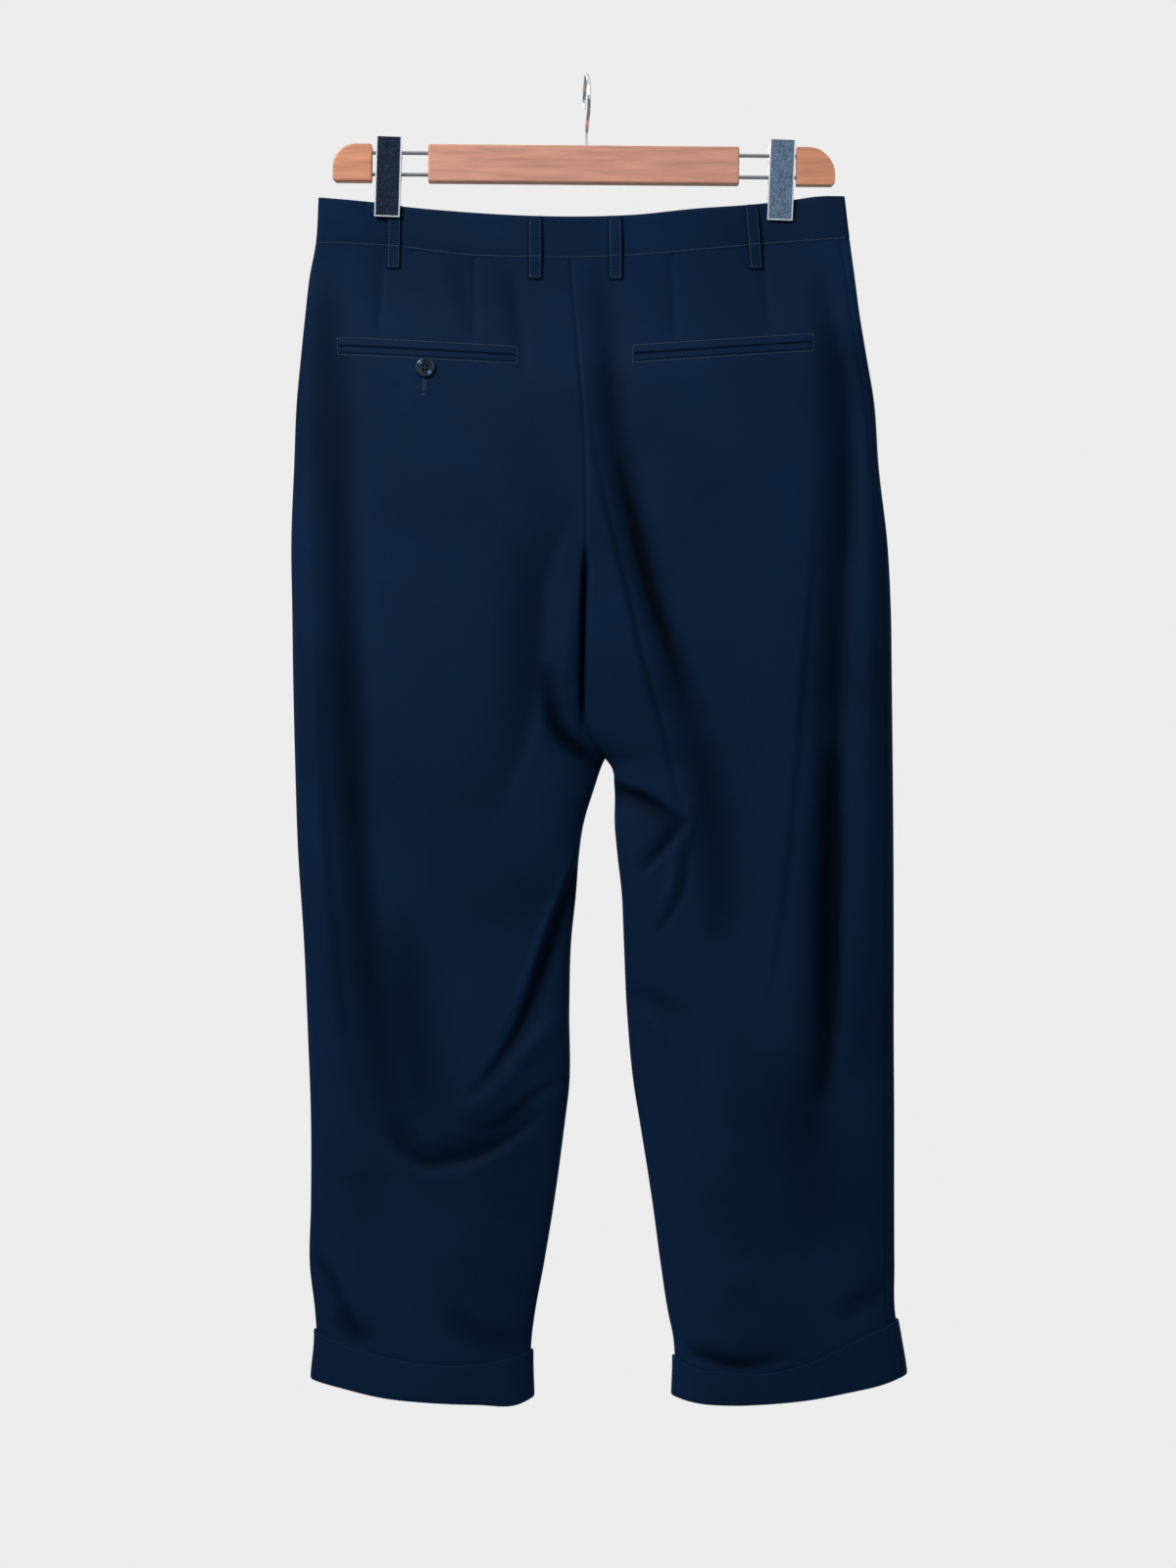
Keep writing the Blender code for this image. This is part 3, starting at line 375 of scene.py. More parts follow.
SewnButton = namedtuple("SewnButton", "name face x z")
BUTTONS = (
    SewnButton("pocket_button", 1, 135.7, -248.5),
    SewnButton("waist_button", -1, -9.0, -137.0),
)

SHELL = ("back_left", "back_right", "front_left", "front_right")
BANDS = ("waistband_back", "waistband_front_left", "waistband_front_right")
SIDES = ((1, "left"), (-1, "right"))

# The studio's lamps and camera, in metres
Lamp = namedtuple("Lamp", "name spot size power")
LAMPS = (
    Lamp("key", (1.5, 1.9, 1.4), 0.9, 74.0),
    Lamp("fill", (-1.2, 2.4, 0.9), 1.2, 7.0),
    Lamp("front key", (-1.5, -1.9, 1.4), 0.9, 74.0),
    Lamp("front fill", (1.2, -2.4, 0.9), 1.2, 7.0),
)
LAMP_AIM = Vector((0, 0, -0.55))
SENSOR = 36.0
CAMERA_X = -0.0012
CAMERA_Z = -0.5984
CAMERA_DISTANCE = 2.8
VIEW_HEIGHT = 1.328

# The flat size in metres that each piece of cloth is cut to, its area where the cut isn't square, and
# what it hangs from.
Cut = namedtuple("Cut", "name flat area rests_on")
CLIPPED = ("clip_plate_back_left", "clip_plate_back_right")
CUTS = (
    *(Cut(name, (0.300, 0.985), 0.235, ("waistband_back_cloth",)) for name in SHELL),
    Cut("waistband_back", (0.46, 0.038), None, CLIPPED),
    Cut("waistband_front_left", (0.255, 0.038), None, CLIPPED),
    Cut("waistband_front_right", (0.235, 0.038), None, CLIPPED),
    Cut("cuff_left", (0.395, 0.042), None, ("back_left_cloth",)),
    Cut("cuff_right", (0.42, 0.042), None, ("back_right_cloth",)),
)

# ---------------------------------------------------------------- numbers and surfaces


def smooth(table, key, value, at):
    """Reads one column of a table as a smooth curve through its rows."""
    rows = sorted(table, key=lambda row: getattr(row, key))
    keys = np.array([getattr(row, key) for row in rows], float)
    values = np.array([getattr(row, value) for row in rows], float)
    slopes = np.gradient(values, keys)
    at = np.clip(at, keys[0], keys[-1])
    span = np.clip(np.searchsorted(keys, at, side="right") - 1, 0, len(keys) - 2)
    step = keys[span + 1] - keys[span]
    t = (at - keys[span]) / step
    rise = values[span + 1] - values[span]
    bend_in = slopes[span] * step - rise
    bend_out = rise - slopes[span + 1] * step
    return values[span] + t * rise + t * (1 - t) * ((1 - t) * bend_in + t * bend_out)


def ease(x, low, high):
    """A smooth step from 0 at low to 1 at high."""
    t = np.clip((np.asarray(x, float) - low) / (high - low), 0.0, 1.0)
    return t * t * (3 - 2 * t)


def centre_x(z):
    return smooth(CENTRE_SEAM, "z", "x", z)


def outer_x(side, z):
    return smooth(OUTLINE, "z", "left" if side > 0 else "right", z)


def inner_x(side, z):
    """The edge next to the other leg: the centre seam, and the inseam below the crotch."""
    below = smooth(INSEAM, "z", "left" if side > 0 else "right", z)
    return np.where(np.asarray(z) >= CROTCH_Z, centre_x(z), below)


def seam_z(x):
    return smooth(BAND, "x", "seam", x)


def band_top_z(x):
    return smooth(BAND, "x", "top", x)


def hem_table(side):
    return LEFT_HEM if side > 0 else RIGHT_HEM


def folds_of(face):
    return BACK_FOLDS if face > 0 else FRONT_FOLDS


def closing(z):
    """How far round the fork a section has closed: 0 where the halves join, 1 at the crotch."""
    return np.clip((CROTCH_Z + CROTCH_RISE - np.asarray(z, float)) / CROTCH_RISE, 0.0, 1.0)


def roundness(x, z):
    return BAND_ROUNDNESS + (LEG_ROUNDNESS - BAND_ROUNDNESS) * ease(seam_z(x) - z, 0, BAND_BLEND)


def fullness(x, z):
    loose = smooth(FULLNESS, "z", "depth", z)
    held = smooth(BAND, "x", "depth", x)
    return held + (loose - held) * ease(seam_z(x) - z, 0, BAND_BLEND)


def path_points(path):
    """A fold's path as a smooth row of points."""
    points = np.array(path, float)
    tangents = np.gradient(points, axis=0)
    t = np.linspace(0, len(points) - 1, PATH_POINTS)
    i = np.minimum(t.astype(int), len(points) - 2)
    f = (t - i)[:, None]
    rise = points[i + 1] - points[i]
    bend_in = tangents[i] - rise
    bend_out = rise - tangents[i + 1]
    return points[i] + f * rise + f * (1 - f) * ((1 - f) * bend_in + f * bend_out)


def fold_field(folds, x, z):
    """How far the folds sink the cloth at x, z, and how much painted shade they give its colour."""
    x, z = np.broadcast_arrays(np.asarray(x, float), np.asarray(z, float))
    sunk = np.zeros(x.shape)
    shaded = np.zeros(x.shape)
    for fold in folds:
        path = path_points(fold.path)
        reach = 3.2 * max(fold.near, fold.far)
        low = path.min(axis=0) - reach
        high = path.max(axis=0) + reach
        close = (x > low[0]) & (x < high[0]) & (z > low[1]) & (z < high[1])
        if not close.any():
            continue
        steps = np.diff(path, axis=0)
        from_x = x[close][:, None] - path[:-1, 0]
        from_z = z[close][:, None] - path[:-1, 1]
        t = np.clip((from_x * steps[:, 0] + from_z * steps[:, 1]) / (steps**2).sum(axis=1), 0, 1)
        away = np.hypot(from_x - t * steps[:, 0], from_z - t * steps[:, 1])
        nearest = away.argmin(axis=1)
        pick = np.arange(len(nearest))
        along = (nearest + t[pick, nearest]) / len(steps)
        heading = steps[nearest] / np.hypot(*steps[nearest].T)[:, None]
        across = from_z[pick, nearest] * heading[:, 0] - from_x[pick, nearest] * heading[:, 1]
        width = fold.near + (fold.far - fold.near) * ease(across, -2.5, 2.5)
        taper = np.sin(np.pi * np.clip(along, 0.001, 0.999)) ** 0.6
        reached = taper * np.exp(-((away[pick, nearest] / width) ** 2))
        sunk[close] += fold.depth * reached
        shaded[close] += fold.shade * reached
    return sunk, np.minimum(shaded, DEEPEST_SHADE)


def groove(distance, depth, width):
    return depth * np.exp(-((distance / width) ** 2))


def seam_grooves(side, face, x, z):
    """The sunk lines of the darts, the centre seam and the side seam."""
    total = groove(x - centre_x(z), 0.9, 1.8) * (z > CROTCH_Z)
    if face > 0:
        opened = ease(z, -560, -520) * (1 - ease(z, -425, -395))
        total = total + groove(x - centre_x(z), 4.5, 3.0) * opened
        for dart in DARTS:
            down = np.clip((dart.top_z - z) / (dart.top_z - dart.foot_z), 0, 1)
            line = dart.top_x + (dart.foot_x - dart.top_x) * down
            fade = 1 - ease(-z, -dart.foot_z - 12, -dart.foot_z + 14)
            total = total + (groove(x - line, 0.8, 1.6) + groove(x - line, 0.7, 7.0)) * fade
        if side < 0:
            total = total + groove(x - outer_x(side, z) - 7.5, 0.7, 1.5)
    return total


def pleat_height(fraction, side, z):
    """The front's pleats at the waist, which run down into the pressed crease."""
    fall = seam_z(side * 110.0) - z
    height = CREASE_HEIGHT * np.exp(-(((fraction - 0.5) / CREASE_WIDTH) ** 2)) * ease(fall, 60, 240)
    for pleat in PLEATS:
        across = fraction - pleat.fraction
        width = np.where(across > 0, PLEAT_EDGE, PLEAT_SPREAD)
        lip = np.exp(-((across / width) ** 2))
        height = height + pleat.height * lip * (1 - ease(fall, 20, pleat.length))
    return height


def fly_lift(side, x, z):
    """The left front stands out where it laps the right one at the fly."""
    if side < 0:
        return 0.0
    near = 1 - ease(x - centre_x(z), 0, 10)
    return (WALL + FLY_LIFT) * near * ease(z, FLY_END_Z - 45, FLY_END_Z)


def ripple(x, z, face):
    """The slight unevenness of hung cloth."""
    slow = np.sin(x / 31.0 + face * 1.3 + z / 170.0) * np.sin(z / 83.0 + face * 0.7 + x / 140.0)
    quick = np.sin(x / 13.0 + z / 61.0 + face) * np.sin(z / 29.0 - x / 47.0)
    return 0.55 * slow + 0.22 * quick


def section(side, face, fraction, z, level=None, inset=0.0):
    """A point of the leg's surface: fraction 0 at the side seam and 1 at the inner edge."""
    level = z if level is None else level
    closed = closing(level)
    inner = inner_x(side, level) + side * inset * ease(closed, 0.7, 1.0)
    outer = outer_x(side, z) - side * inset
    x = outer + (inner - outer) * fraction
    s = 1 - (1 + closed) * fraction
    power = roundness(x, z)
    rim = np.maximum(1 - np.abs(s) ** power, 0.0) ** (1 / power)
    depth = (fullness(x, z) - inset) * rim
    fade = ease(depth, 1.0, EDGE_FADE)
    depth = depth - fold_field(folds_of(face), x, z)[0] * fade
    depth = depth - seam_grooves(side, face, x, z) * ease(depth, 0.5, 3.0)
    depth = depth + ripple(x, z, face) * fade * ease(seam_z(x) - z, 10, 90)
    if face < 0:
        depth = depth + pleat_height(fraction, side, z) * fade
        depth = depth + fly_lift(side, x, z)
    return x, np.maximum(depth, 0.0)


def column_fractions(count):
    """Columns across a panel, closer together at its two edges."""
    even = np.linspace(0, 1, count)
    return 0.55 * (1 - np.cos(np.pi * even)) / 2 + 0.45 * even


# ---------------------------------------------------------------- meshes


def grid_points(x, depth, z, face):
    x, depth, z = np.broadcast_arrays(x, depth, z)
    return np.stack([x, face * depth, z], axis=-1)


def mesh_object(name, points, faces, sharp=50):
    mesh = bpy.data.meshes.new(name)
    mesh.from_pydata((np.asarray(points) * MM).tolist(), [], faces)
    work = bmesh.new()
    work.from_mesh(mesh)
    bmesh.ops.recalc_face_normals(work, faces=work.faces)
    work.to_mesh(mesh)
    work.free()
    mesh.shade_smooth()
    mesh.set_sharp_from_angle(angle=math.radians(sharp))
    item = bpy.data.objects.new(name, mesh)
    bpy.context.scene.collection.objects.link(item)
    return item


def wall(name, outer, inner):
    """A closed wall of cloth between two grids of points, as rows of columns."""
    rows, columns = outer.shape[:2]
    size = rows * columns
    points = np.concatenate([outer.reshape(-1, 3), inner.reshape(-1, 3)])
    index = np.arange(size).reshape(rows, columns)
    quads = np.stack([index[:-1, :-1], index[:-1, 1:], index[1:, 1:], index[1:, :-1]], axis=-1)
    quads = quads.reshape(-1, 4)
    faces = np.concatenate([quads, quads[:, ::-1] + size]).tolist()
    for rim in (index[0], index[-1], index[:, 0], index[:, -1]):
        faces += [[int(a), int(a) + size, int(b) + size, int(b)] for a, b in zip(rim[:-1], rim[1:])]
    return mesh_object(name, points, faces)


def ring_of_rows(name, rows):
    """A closed solid whose rows of points each go once round a leg."""
    count = len(rows[0])
    points = np.concatenate([np.array(row, float) for row in rows])
    faces = []
    for row in range(len(rows)):
        here = row * count
        below = (row + 1) % len(rows) * count
        for column in range(count):
            after = (column + 1) % count
            faces.append([here + column, here + after, below + after, below + column])
    return mesh_object(name, points, faces)


def shade_cloth(item, values):
    """Stores how much painted shade darkens each point's colour."""
    hollow = item.data.attributes.new("hollow", "FLOAT", "POINT")
    hollow.data.foreach_set("value", values)


def cloth_tree(names):
    """The finished pieces of cloth of these names as one surface that can be measured."""
    points = []
    faces = []
    for name in names:
        mesh = bpy.data.objects[name + "_cloth"].data
        faces += [[index + len(points) for index in polygon.vertices] for polygon in mesh.polygons]
        points += [vertex.co / MM for vertex in mesh.vertices]
    return BVHTree.FromPolygons(points, faces)


def cloth_depth(tree, face, x, z):
    """How far out the cloth lies at x, z."""
    x, z = np.broadcast_arrays(np.asarray(x, float), np.asarray(z, float))
    result = np.zeros(x.shape)
    for index in np.ndindex(x.shape):
        hit = tree.ray_cast(Vector((x[index], face * FAR, z[index])), Vector((0, -face, 0)))[0]
        result[index] = face * hit.y if hit is not None else 0.0
    return result


def soften(depth, passes=3):
    """Evens out a strip's depths along its length."""
    for _ in range(passes):
        depth[1:-1] = np.maximum(depth[1:-1], (depth[:-2] + 2 * depth[1:-1] + depth[2:]) / 4)
    return depth


def strip(name, tree, face, x, z, out, thick, bow=0.0, edge_shade=(0.85, 0.85)):
    """A strip that lies on the cloth, with rounded long edges, a painted shadow along each of them and
    painted shade on its underside.
    """
    depth = soften(cloth_depth(tree, face, x, z))
    across = np.linspace(-1, 1, x.shape[1])[None, :]
    crown = thick * (0.45 + 0.55 * np.sqrt(np.maximum(1 - np.abs(across) ** 6, 0)))
    rise = bow * np.sin(np.pi * np.linspace(0, 1, x.shape[0]))[:, None]
    outer = grid_points(x, depth + out + rise + crown, z, face)
    inner = grid_points(x, depth + out + rise, z, face)
    item = wall(name, outer, inner)
    # Painted shade: a dark line down each long edge where the strip's shadow would fall, and its underside
    # darkened alike.
    first, last = edge_shade
    shade = np.maximum(first * groove(across + 1, 1.0, 0.2), last * groove(across - 1, 1.0, 0.2)) + 0 * x
    shade_cloth(item, np.concatenate([shade.ravel(), np.full(shade.size, 0.85)]))
    return item


# ---------------------------------------------------------------- materials


def node(tree, kind, **inputs):
    """Adds a shader node and sets its inputs by name, spaces written as underscores."""
    item = tree.nodes.new(kind)
    for name, value in inputs.items():
        item.inputs[name.replace("_", " ")].default_value = value
    return item


def group_with(name, inputs, outputs):
    """An empty shader node group with the given sockets, each (name, kind, default)."""
    group = bpy.data.node_groups.new(name, "ShaderNodeTree")
    for socket_name, kind, default in inputs:
        socket = group.interface.new_socket(name=socket_name, in_out="INPUT", socket_type=kind)
        socket.default_value = default
    for socket_name, kind in outputs:
        group.interface.new_socket(name=socket_name, in_out="OUTPUT", socket_type=kind)
    return group, group.nodes.new("NodeGroupInput"), group.nodes.new("NodeGroupOutput")


def shared_group(tree, name, make, **inputs):
    """Adds the shader node group of that name to a material, making it when first asked for."""
    item = tree.nodes.new("ShaderNodeGroup")
    item.node_tree = bpy.data.node_groups.get(name) or make()
    for socket, value in inputs.items():
        item.inputs[socket.replace("_", " ")].default_value = value
    return item


def weave_group():
    """Fine twill seen close to, with slow patches of tone: a colour factor and a height."""
    group, given, out = group_with(
        "Suiting weave",
        [("Threads", "NodeSocketFloat", 1500.0), ("Patches", "NodeSocketFloat", 9.0)],
        [("Tone", "NodeSocketFloat"), ("Height", "NodeSocketFloat")],
    )
    where = group.nodes.new("ShaderNodeTexCoord")
    threads = node(group, "ShaderNodeTexNoise", Detail=2.0, Roughness=0.6)
    stretch = group.nodes.new("ShaderNodeMapping")
    stretch.inputs["Scale"].default_value = (1.0, 0.35, 0.55)
    stretch.inputs["Rotation"].default_value = (0.0, math.radians(35), 0.0)
    twill = node(group, "ShaderNodeTexWave", Distortion=1.5, Detail=1.0)
    twill.inputs["Scale"].default_value = 330.0
    slow = node(group, "ShaderNodeTexNoise", Detail=4.0, Roughness=0.55)
    mix = group.nodes.new("ShaderNodeMath")
    mix.operation = "MULTIPLY_ADD"
    mix.inputs[1].default_value = 0.35
    link = group.links.new
    link(where.outputs["Object"], stretch.inputs["Vector"])
    link(stretch.outputs["Vector"], threads.inputs["Vector"])
    link(stretch.outputs["Vector"], twill.inputs["Vector"])
    link(where.outputs["Object"], slow.inputs["Vector"])
    link(given.outputs["Threads"], threads.inputs["Scale"])
    link(given.outputs["Patches"], slow.inputs["Scale"])
    link(twill.outputs["Fac"], mix.inputs[0])
    link(threads.outputs["Fac"], mix.inputs[2])
    link(mix.outputs[0], out.inputs["Height"])
    tone = group.nodes.new("ShaderNodeMath")
    tone.operation = "MULTIPLY_ADD"
    tone.inputs[1].default_value = 0.45
    link(threads.outputs["Fac"], tone.inputs[0])
    link(slow.outputs["Fac"], tone.inputs[2])
    link(tone.outputs[0], out.inputs["Tone"])
    return group


def principled(name, **values):
    """A new material and its Principled BSDF with the given values."""
    material = bpy.data.materials.new(name)
    material.use_nodes = True
    shader = material.node_tree.nodes["Principled BSDF"]
    for socket, value in values.items():
        shader.inputs[socket.replace("_", " ")].default_value = value
    return material, material.node_tree, shader


def between(tree, factor, low, high, low_at=0.0, high_at=1.0):
    """A colour ramp from one colour to another, driven by a factor."""
    ramp = tree.nodes.new("ShaderNodeValToRGB")
    ramp.color_ramp.elements[0].color = (*low, 1.0)
    ramp.color_ramp.elements[1].color = (*high, 1.0)
    ramp.color_ramp.elements[0].position = low_at
    ramp.color_ramp.elements[1].position = high_at
    tree.links.new(factor, ramp.inputs["Fac"])
    return ramp.outputs["Color"]


def bump(tree, height, shader, strength, distance):
    item = node(tree, "ShaderNodeBump", Strength=strength, Distance=distance)
    tree.links.new(height, item.inputs["Height"])
    tree.links.new(item.outputs["Normal"], shader.inputs["Normal"])


def cloth_material(name, colour):
    """Matt suiting with painted shade: its colour darkens towards near black where the point attribute set by
    shade_cloth says a fold lies in shade.
    """
    material, tree, shader = principled(
        name, Roughness=0.6, Sheen_Weight=0.012, Sheen_Roughness=0.35, Specular_IOR_Level=0.03,
    )
    shader.inputs["Sheen Tint"].default_value = (0.42, 0.62, 0.85, 1.0)
    weave = shared_group(tree, "Suiting weave", weave_group, Threads=1500.0, Patches=9.0)
    dark = tuple(0.72 * value for value in colour)
    light = tuple(1.3 * value for value in colour)
    # Painted shade: where the point attribute set by shade_cloth is high, the colour is mixed towards a
    # near-black copy of itself.
    hollow = tree.nodes.new("ShaderNodeAttribute")
    hollow.attribute_name = "hollow"
    sunk = tree.nodes.new("ShaderNodeMix")
    sunk.data_type = "RGBA"
    sunk.inputs["B"].default_value = (*(0.03 * value for value in colour), 1.0)
    tree.links.new(hollow.outputs["Fac"], sunk.inputs["Factor"])
    tree.links.new(between(tree, weave.outputs["Tone"], dark, light, 0.4, 1.0), sunk.inputs["A"])
    tree.links.new(sunk.outputs["Result"], shader.inputs["Base Color"])
    bump(tree, weave.outputs["Height"], shader, 0.22, 0.0004)
    return material


def grain_group():
    """Wood grain that runs along X: a factor for both the tone and the height."""
    group, given, out = group_with(
        "Wood grain",
        [("Grain Scale", "NodeSocketFloat", 2.2), ("Fleck Scale", "NodeSocketFloat", 9.0)],
        [("Grain", "NodeSocketFloat")],
    )
    where = group.nodes.new("ShaderNodeTexCoord")
    stretch = group.nodes.new("ShaderNodeMapping")
    stretch.inputs["Scale"].default_value = (6.0, 60.0, 90.0)
    grain = node(group, "ShaderNodeTexNoise", Detail=6.0, Roughness=0.6, Distortion=0.6)
    fleck = node(group, "ShaderNodeTexNoise", Detail=3.0, Roughness=0.5)
    mix = group.nodes.new("ShaderNodeMath")
    mix.operation = "MULTIPLY_ADD"
    mix.inputs[1].default_value = 0.4
    link = group.links.new
    link(where.outputs["Object"], stretch.inputs["Vector"])
    link(stretch.outputs["Vector"], grain.inputs["Vector"])
    link(stretch.outputs["Vector"], fleck.inputs["Vector"])
    link(given.outputs["Grain Scale"], grain.inputs["Scale"])
    link(given.outputs["Fleck Scale"], fleck.inputs["Scale"])
    link(fleck.outputs["Fac"], mix.inputs[0])
    link(grain.outputs["Fac"], mix.inputs[2])
    link(mix.outputs[0], out.inputs["Grain"])
    return group


def wear_group():
    """Blotches of handling and age on metal, as one factor."""
    group, given, out = group_with(
        "Metal wear",
        [("Spots", "NodeSocketFloat", 420.0)],
        [("Wear", "NodeSocketFloat")],
    )
    where = group.nodes.new("ShaderNodeTexCoord")
    spots = node(group, "ShaderNodeTexNoise", Detail=4.0, Roughness=0.7, Distortion=1.2)
    group.links.new(where.outputs["Object"], spots.inputs["Vector"])
    group.links.new(given.outputs["Spots"], spots.inputs["Scale"])
    group.links.new(spots.outputs["Fac"], out.inputs["Wear"])
    return group


def wood_material(name, colour):
    """Lacquered wood whose grain runs along the bar."""
    material, tree, shader = principled(name, Roughness=0.45, Coat_Weight=0.1, Coat_Roughness=0.3)
    grain = shared_group(tree, "Wood grain", grain_group, Grain_Scale=2.2, Fleck_Scale=9.0)
    dark = tuple(0.66 * value for value in colour)
    light = tuple(min(1.12 * value, 1.0) for value in colour)
    tone = between(tree, grain.outputs["Grain"], dark, light, 0.45, 0.95)
    tree.links.new(tone, shader.inputs["Base Color"])
    bump(tree, grain.outputs["Grain"], shader, 0.12, 0.0003)
    return material


def steel_material(name, colour, roughness, mottle=0.0):
    """Bright or plated steel, blotched by as much as mottle."""
    material, tree, shader = principled(name, Metallic=1.0, Roughness=roughness)
    wear = shared_group(tree, "Metal wear", wear_group, Spots=420.0)
    dark = tuple(value * (1 - mottle) for value in colour)
    light = tuple(min(value * (1 + mottle), 1.0) for value in colour)
    tone = between(tree, wear.outputs["Wear"], dark, light, 0.38, 0.66)
    tree.links.new(tone, shader.inputs["Base Color"])
    bump(tree, wear.outputs["Wear"], shader, 0.08 + 0.25 * mottle, 0.0002)
    return material


def button_material():
    """Polished dark horn with faint streaks."""
    material, tree, shader = principled("navy button horn", Roughness=0.16, Specular_IOR_Level=0.55)
    shader.inputs["Specular Tint"].default_value = (0.55, 0.74, 1.0, 1.0)
    where = tree.nodes.new("ShaderNodeTexCoord")
    streak = node(tree, "ShaderNodeTexNoise", Scale=160.0, Detail=3.0, Distortion=1.5)
    tree.links.new(where.outputs["Object"], streak.inputs["Vector"])
    colour = between(tree, streak.outputs["Fac"], (0.002, 0.006, 0.012), (0.010, 0.020, 0.036), 0.35, 0.75)
    tree.links.new(colour, shader.inputs["Base Color"])
    return material


def thread_material(colour):
    """Twisted sewing thread."""
    material, tree, shader = principled("sewing thread", Roughness=0.5, Sheen_Weight=0.2, Sheen_Roughness=0.4)
    where = tree.nodes.new("ShaderNodeTexCoord")
    twist = node(tree, "ShaderNodeTexNoise", Scale=2600.0, Detail=2.0)
    tree.links.new(where.outputs["Object"], twist.inputs["Vector"])
    dark = tuple(0.6 * value for value in colour)
    tone = between(tree, twist.outputs["Fac"], dark, colour, 0.3, 0.7)
    tree.links.new(tone, shader.inputs["Base Color"])
    bump(tree, twist.outputs["Fac"], shader, 0.2, 0.0002)
    return material


def settings():
    return bpy.context.scene.dress_trousers


def shared_material(name):
    """The material of that name, made from the panel's colours when first asked for."""
    made = bpy.data.materials.get(name)
    if made:
        return made
    chosen = settings()
    if name == "navy suiting":
        return cloth_material(name, tuple(chosen.cloth_colour))
    if name == "sewing thread":
        return thread_material(tuple(chosen.thread_colour))
    return button_material()


# ---------------------------------------------------------------- placing pieces


def place(item, material, slot_name, *nodes):
    """Gives a finished piece its material and ties it to the frame."""
    item.data.materials.clear()
    item.data.materials.append(material)
    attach(item, "root")
    if nodes:
        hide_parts(*nodes)
    return item


def stitch_boxes(paths, tree, face, length, pitch=2.6, wide=0.55, proud=PROUD, stitches=None):
    """Points and faces of small stitches set along each path of x, z points, just proud of the cloth."""
    points, faces = stitches or ([], [])
    for path in paths:
        path = np.array(path, float)
        steps = np.hypot(*np.diff(path, axis=0).T)
        reached = np.concatenate([[0], np.cumsum(steps)])
        count = max(int(reached[-1] / pitch), 1)
        for middle in (np.arange(count) + 0.5) * reached[-1] / count:
            at = np.clip(middle + np.array([-length / 2, 0.0, length / 2]), 0, reached[-1])
            x = np.interp(at, reached, path[:, 0])
            z = np.interp(at, reached, path[:, 1])
            reach = math.hypot(x[2] - x[0], z[2] - z[0]) or 1.0
            side_x = -(z[2] - z[0]) / reach * wide / 2
            side_z = (x[2] - x[0]) / reach * wide / 2
            depths = cloth_depth(tree, face, x, z)
            if depths.min() <= 0 or np.ptp(depths) > 1.2:
                continue
            base = len(points)
            for i, rise in enumerate((0.0, proud + 0.28, 0.0)):
                low = face * (depths[i] - 0.3)
                high = face * (depths[i] + rise)
                for across, y in ((-1, low), (1, low), (0.7, high), (-0.7, high)):
                    points.append((x[i] + across * side_x, y, z[i] + across * side_z))
            for ring in (base, base + 4):
                for corner in range(4):
                    after = (corner + 1) % 4
                    faces.append([ring + corner, ring + after, ring + 4 + after, ring + 4 + corner])
            faces.append([base, base + 3, base + 2, base + 1])
            faces.append([base + 8, base + 9, base + 10, base + 11])
    return points, faces


# ---------------------------------------------------------------- the cloth


def leg_panel(name, side, face):
    """One front or back panel, from the waist seam down into the cuff."""
    fraction = column_fractions(PANEL_COLUMNS)[None, :]
    hem = hem_table(side)
    top_centre = float(seam_z(centre_x(CENTRE_TOP_Z)))
    end_centre = float(smooth(hem, "x", "bottom", inner_x(side, HEM_Z))) + CUFF_WALL + HEM_GAP
    above = np.linspace(top_centre, CROTCH_Z, int(PANEL_ROWS * ROWS_ABOVE_CROTCH))
    below = np.linspace(CROTCH_Z, end_centre, PANEL_ROWS - len(above) + 1)[1:]
    levels = np.concatenate([above, below])[:, None]
    waist_x = outer_x(side, SIDE_TOP_Z) * (1 - fraction) + centre_x(CENTRE_TOP_Z) * fraction
    hem_x = outer_x(side, HEM_Z) * (1 - fraction) + inner_x(side, HEM_Z) * fraction
    top = seam_z(waist_x)
    end = smooth(hem, "x", "bottom", hem_x) + CUFF_WALL + HEM_GAP
    down = (top_centre - levels) / (top_centre - end_centre)
    z = top + (end - top) * down
    skins = []
    for inset in (0.0, WALL):
        x, depth = section(side, face, fraction, z, level=levels, inset=inset)
        x = np.array(np.broadcast_to(x, z.shape))
        if face < 0 and side > 0:
            lap = FLY_OVERLAP * ease(levels[:, 0], FLY_END_Z, FLY_END_Z + 30)
            x[:, -LAP_COLUMNS:] -= lap[:, None] * np.linspace(1 / LAP_COLUMNS, 1, LAP_COLUMNS)[None, :]
        skins.append(grid_points(x, depth, z, face))
        if not inset:
            # The folds' painted shade, kept for both skins
            shade = fold_field(folds_of(face), x, z)[1]
    panel = wall(name, *skins)
    shade_cloth(panel, np.concatenate([shade.ravel(), shade.ravel()]))
    return panel


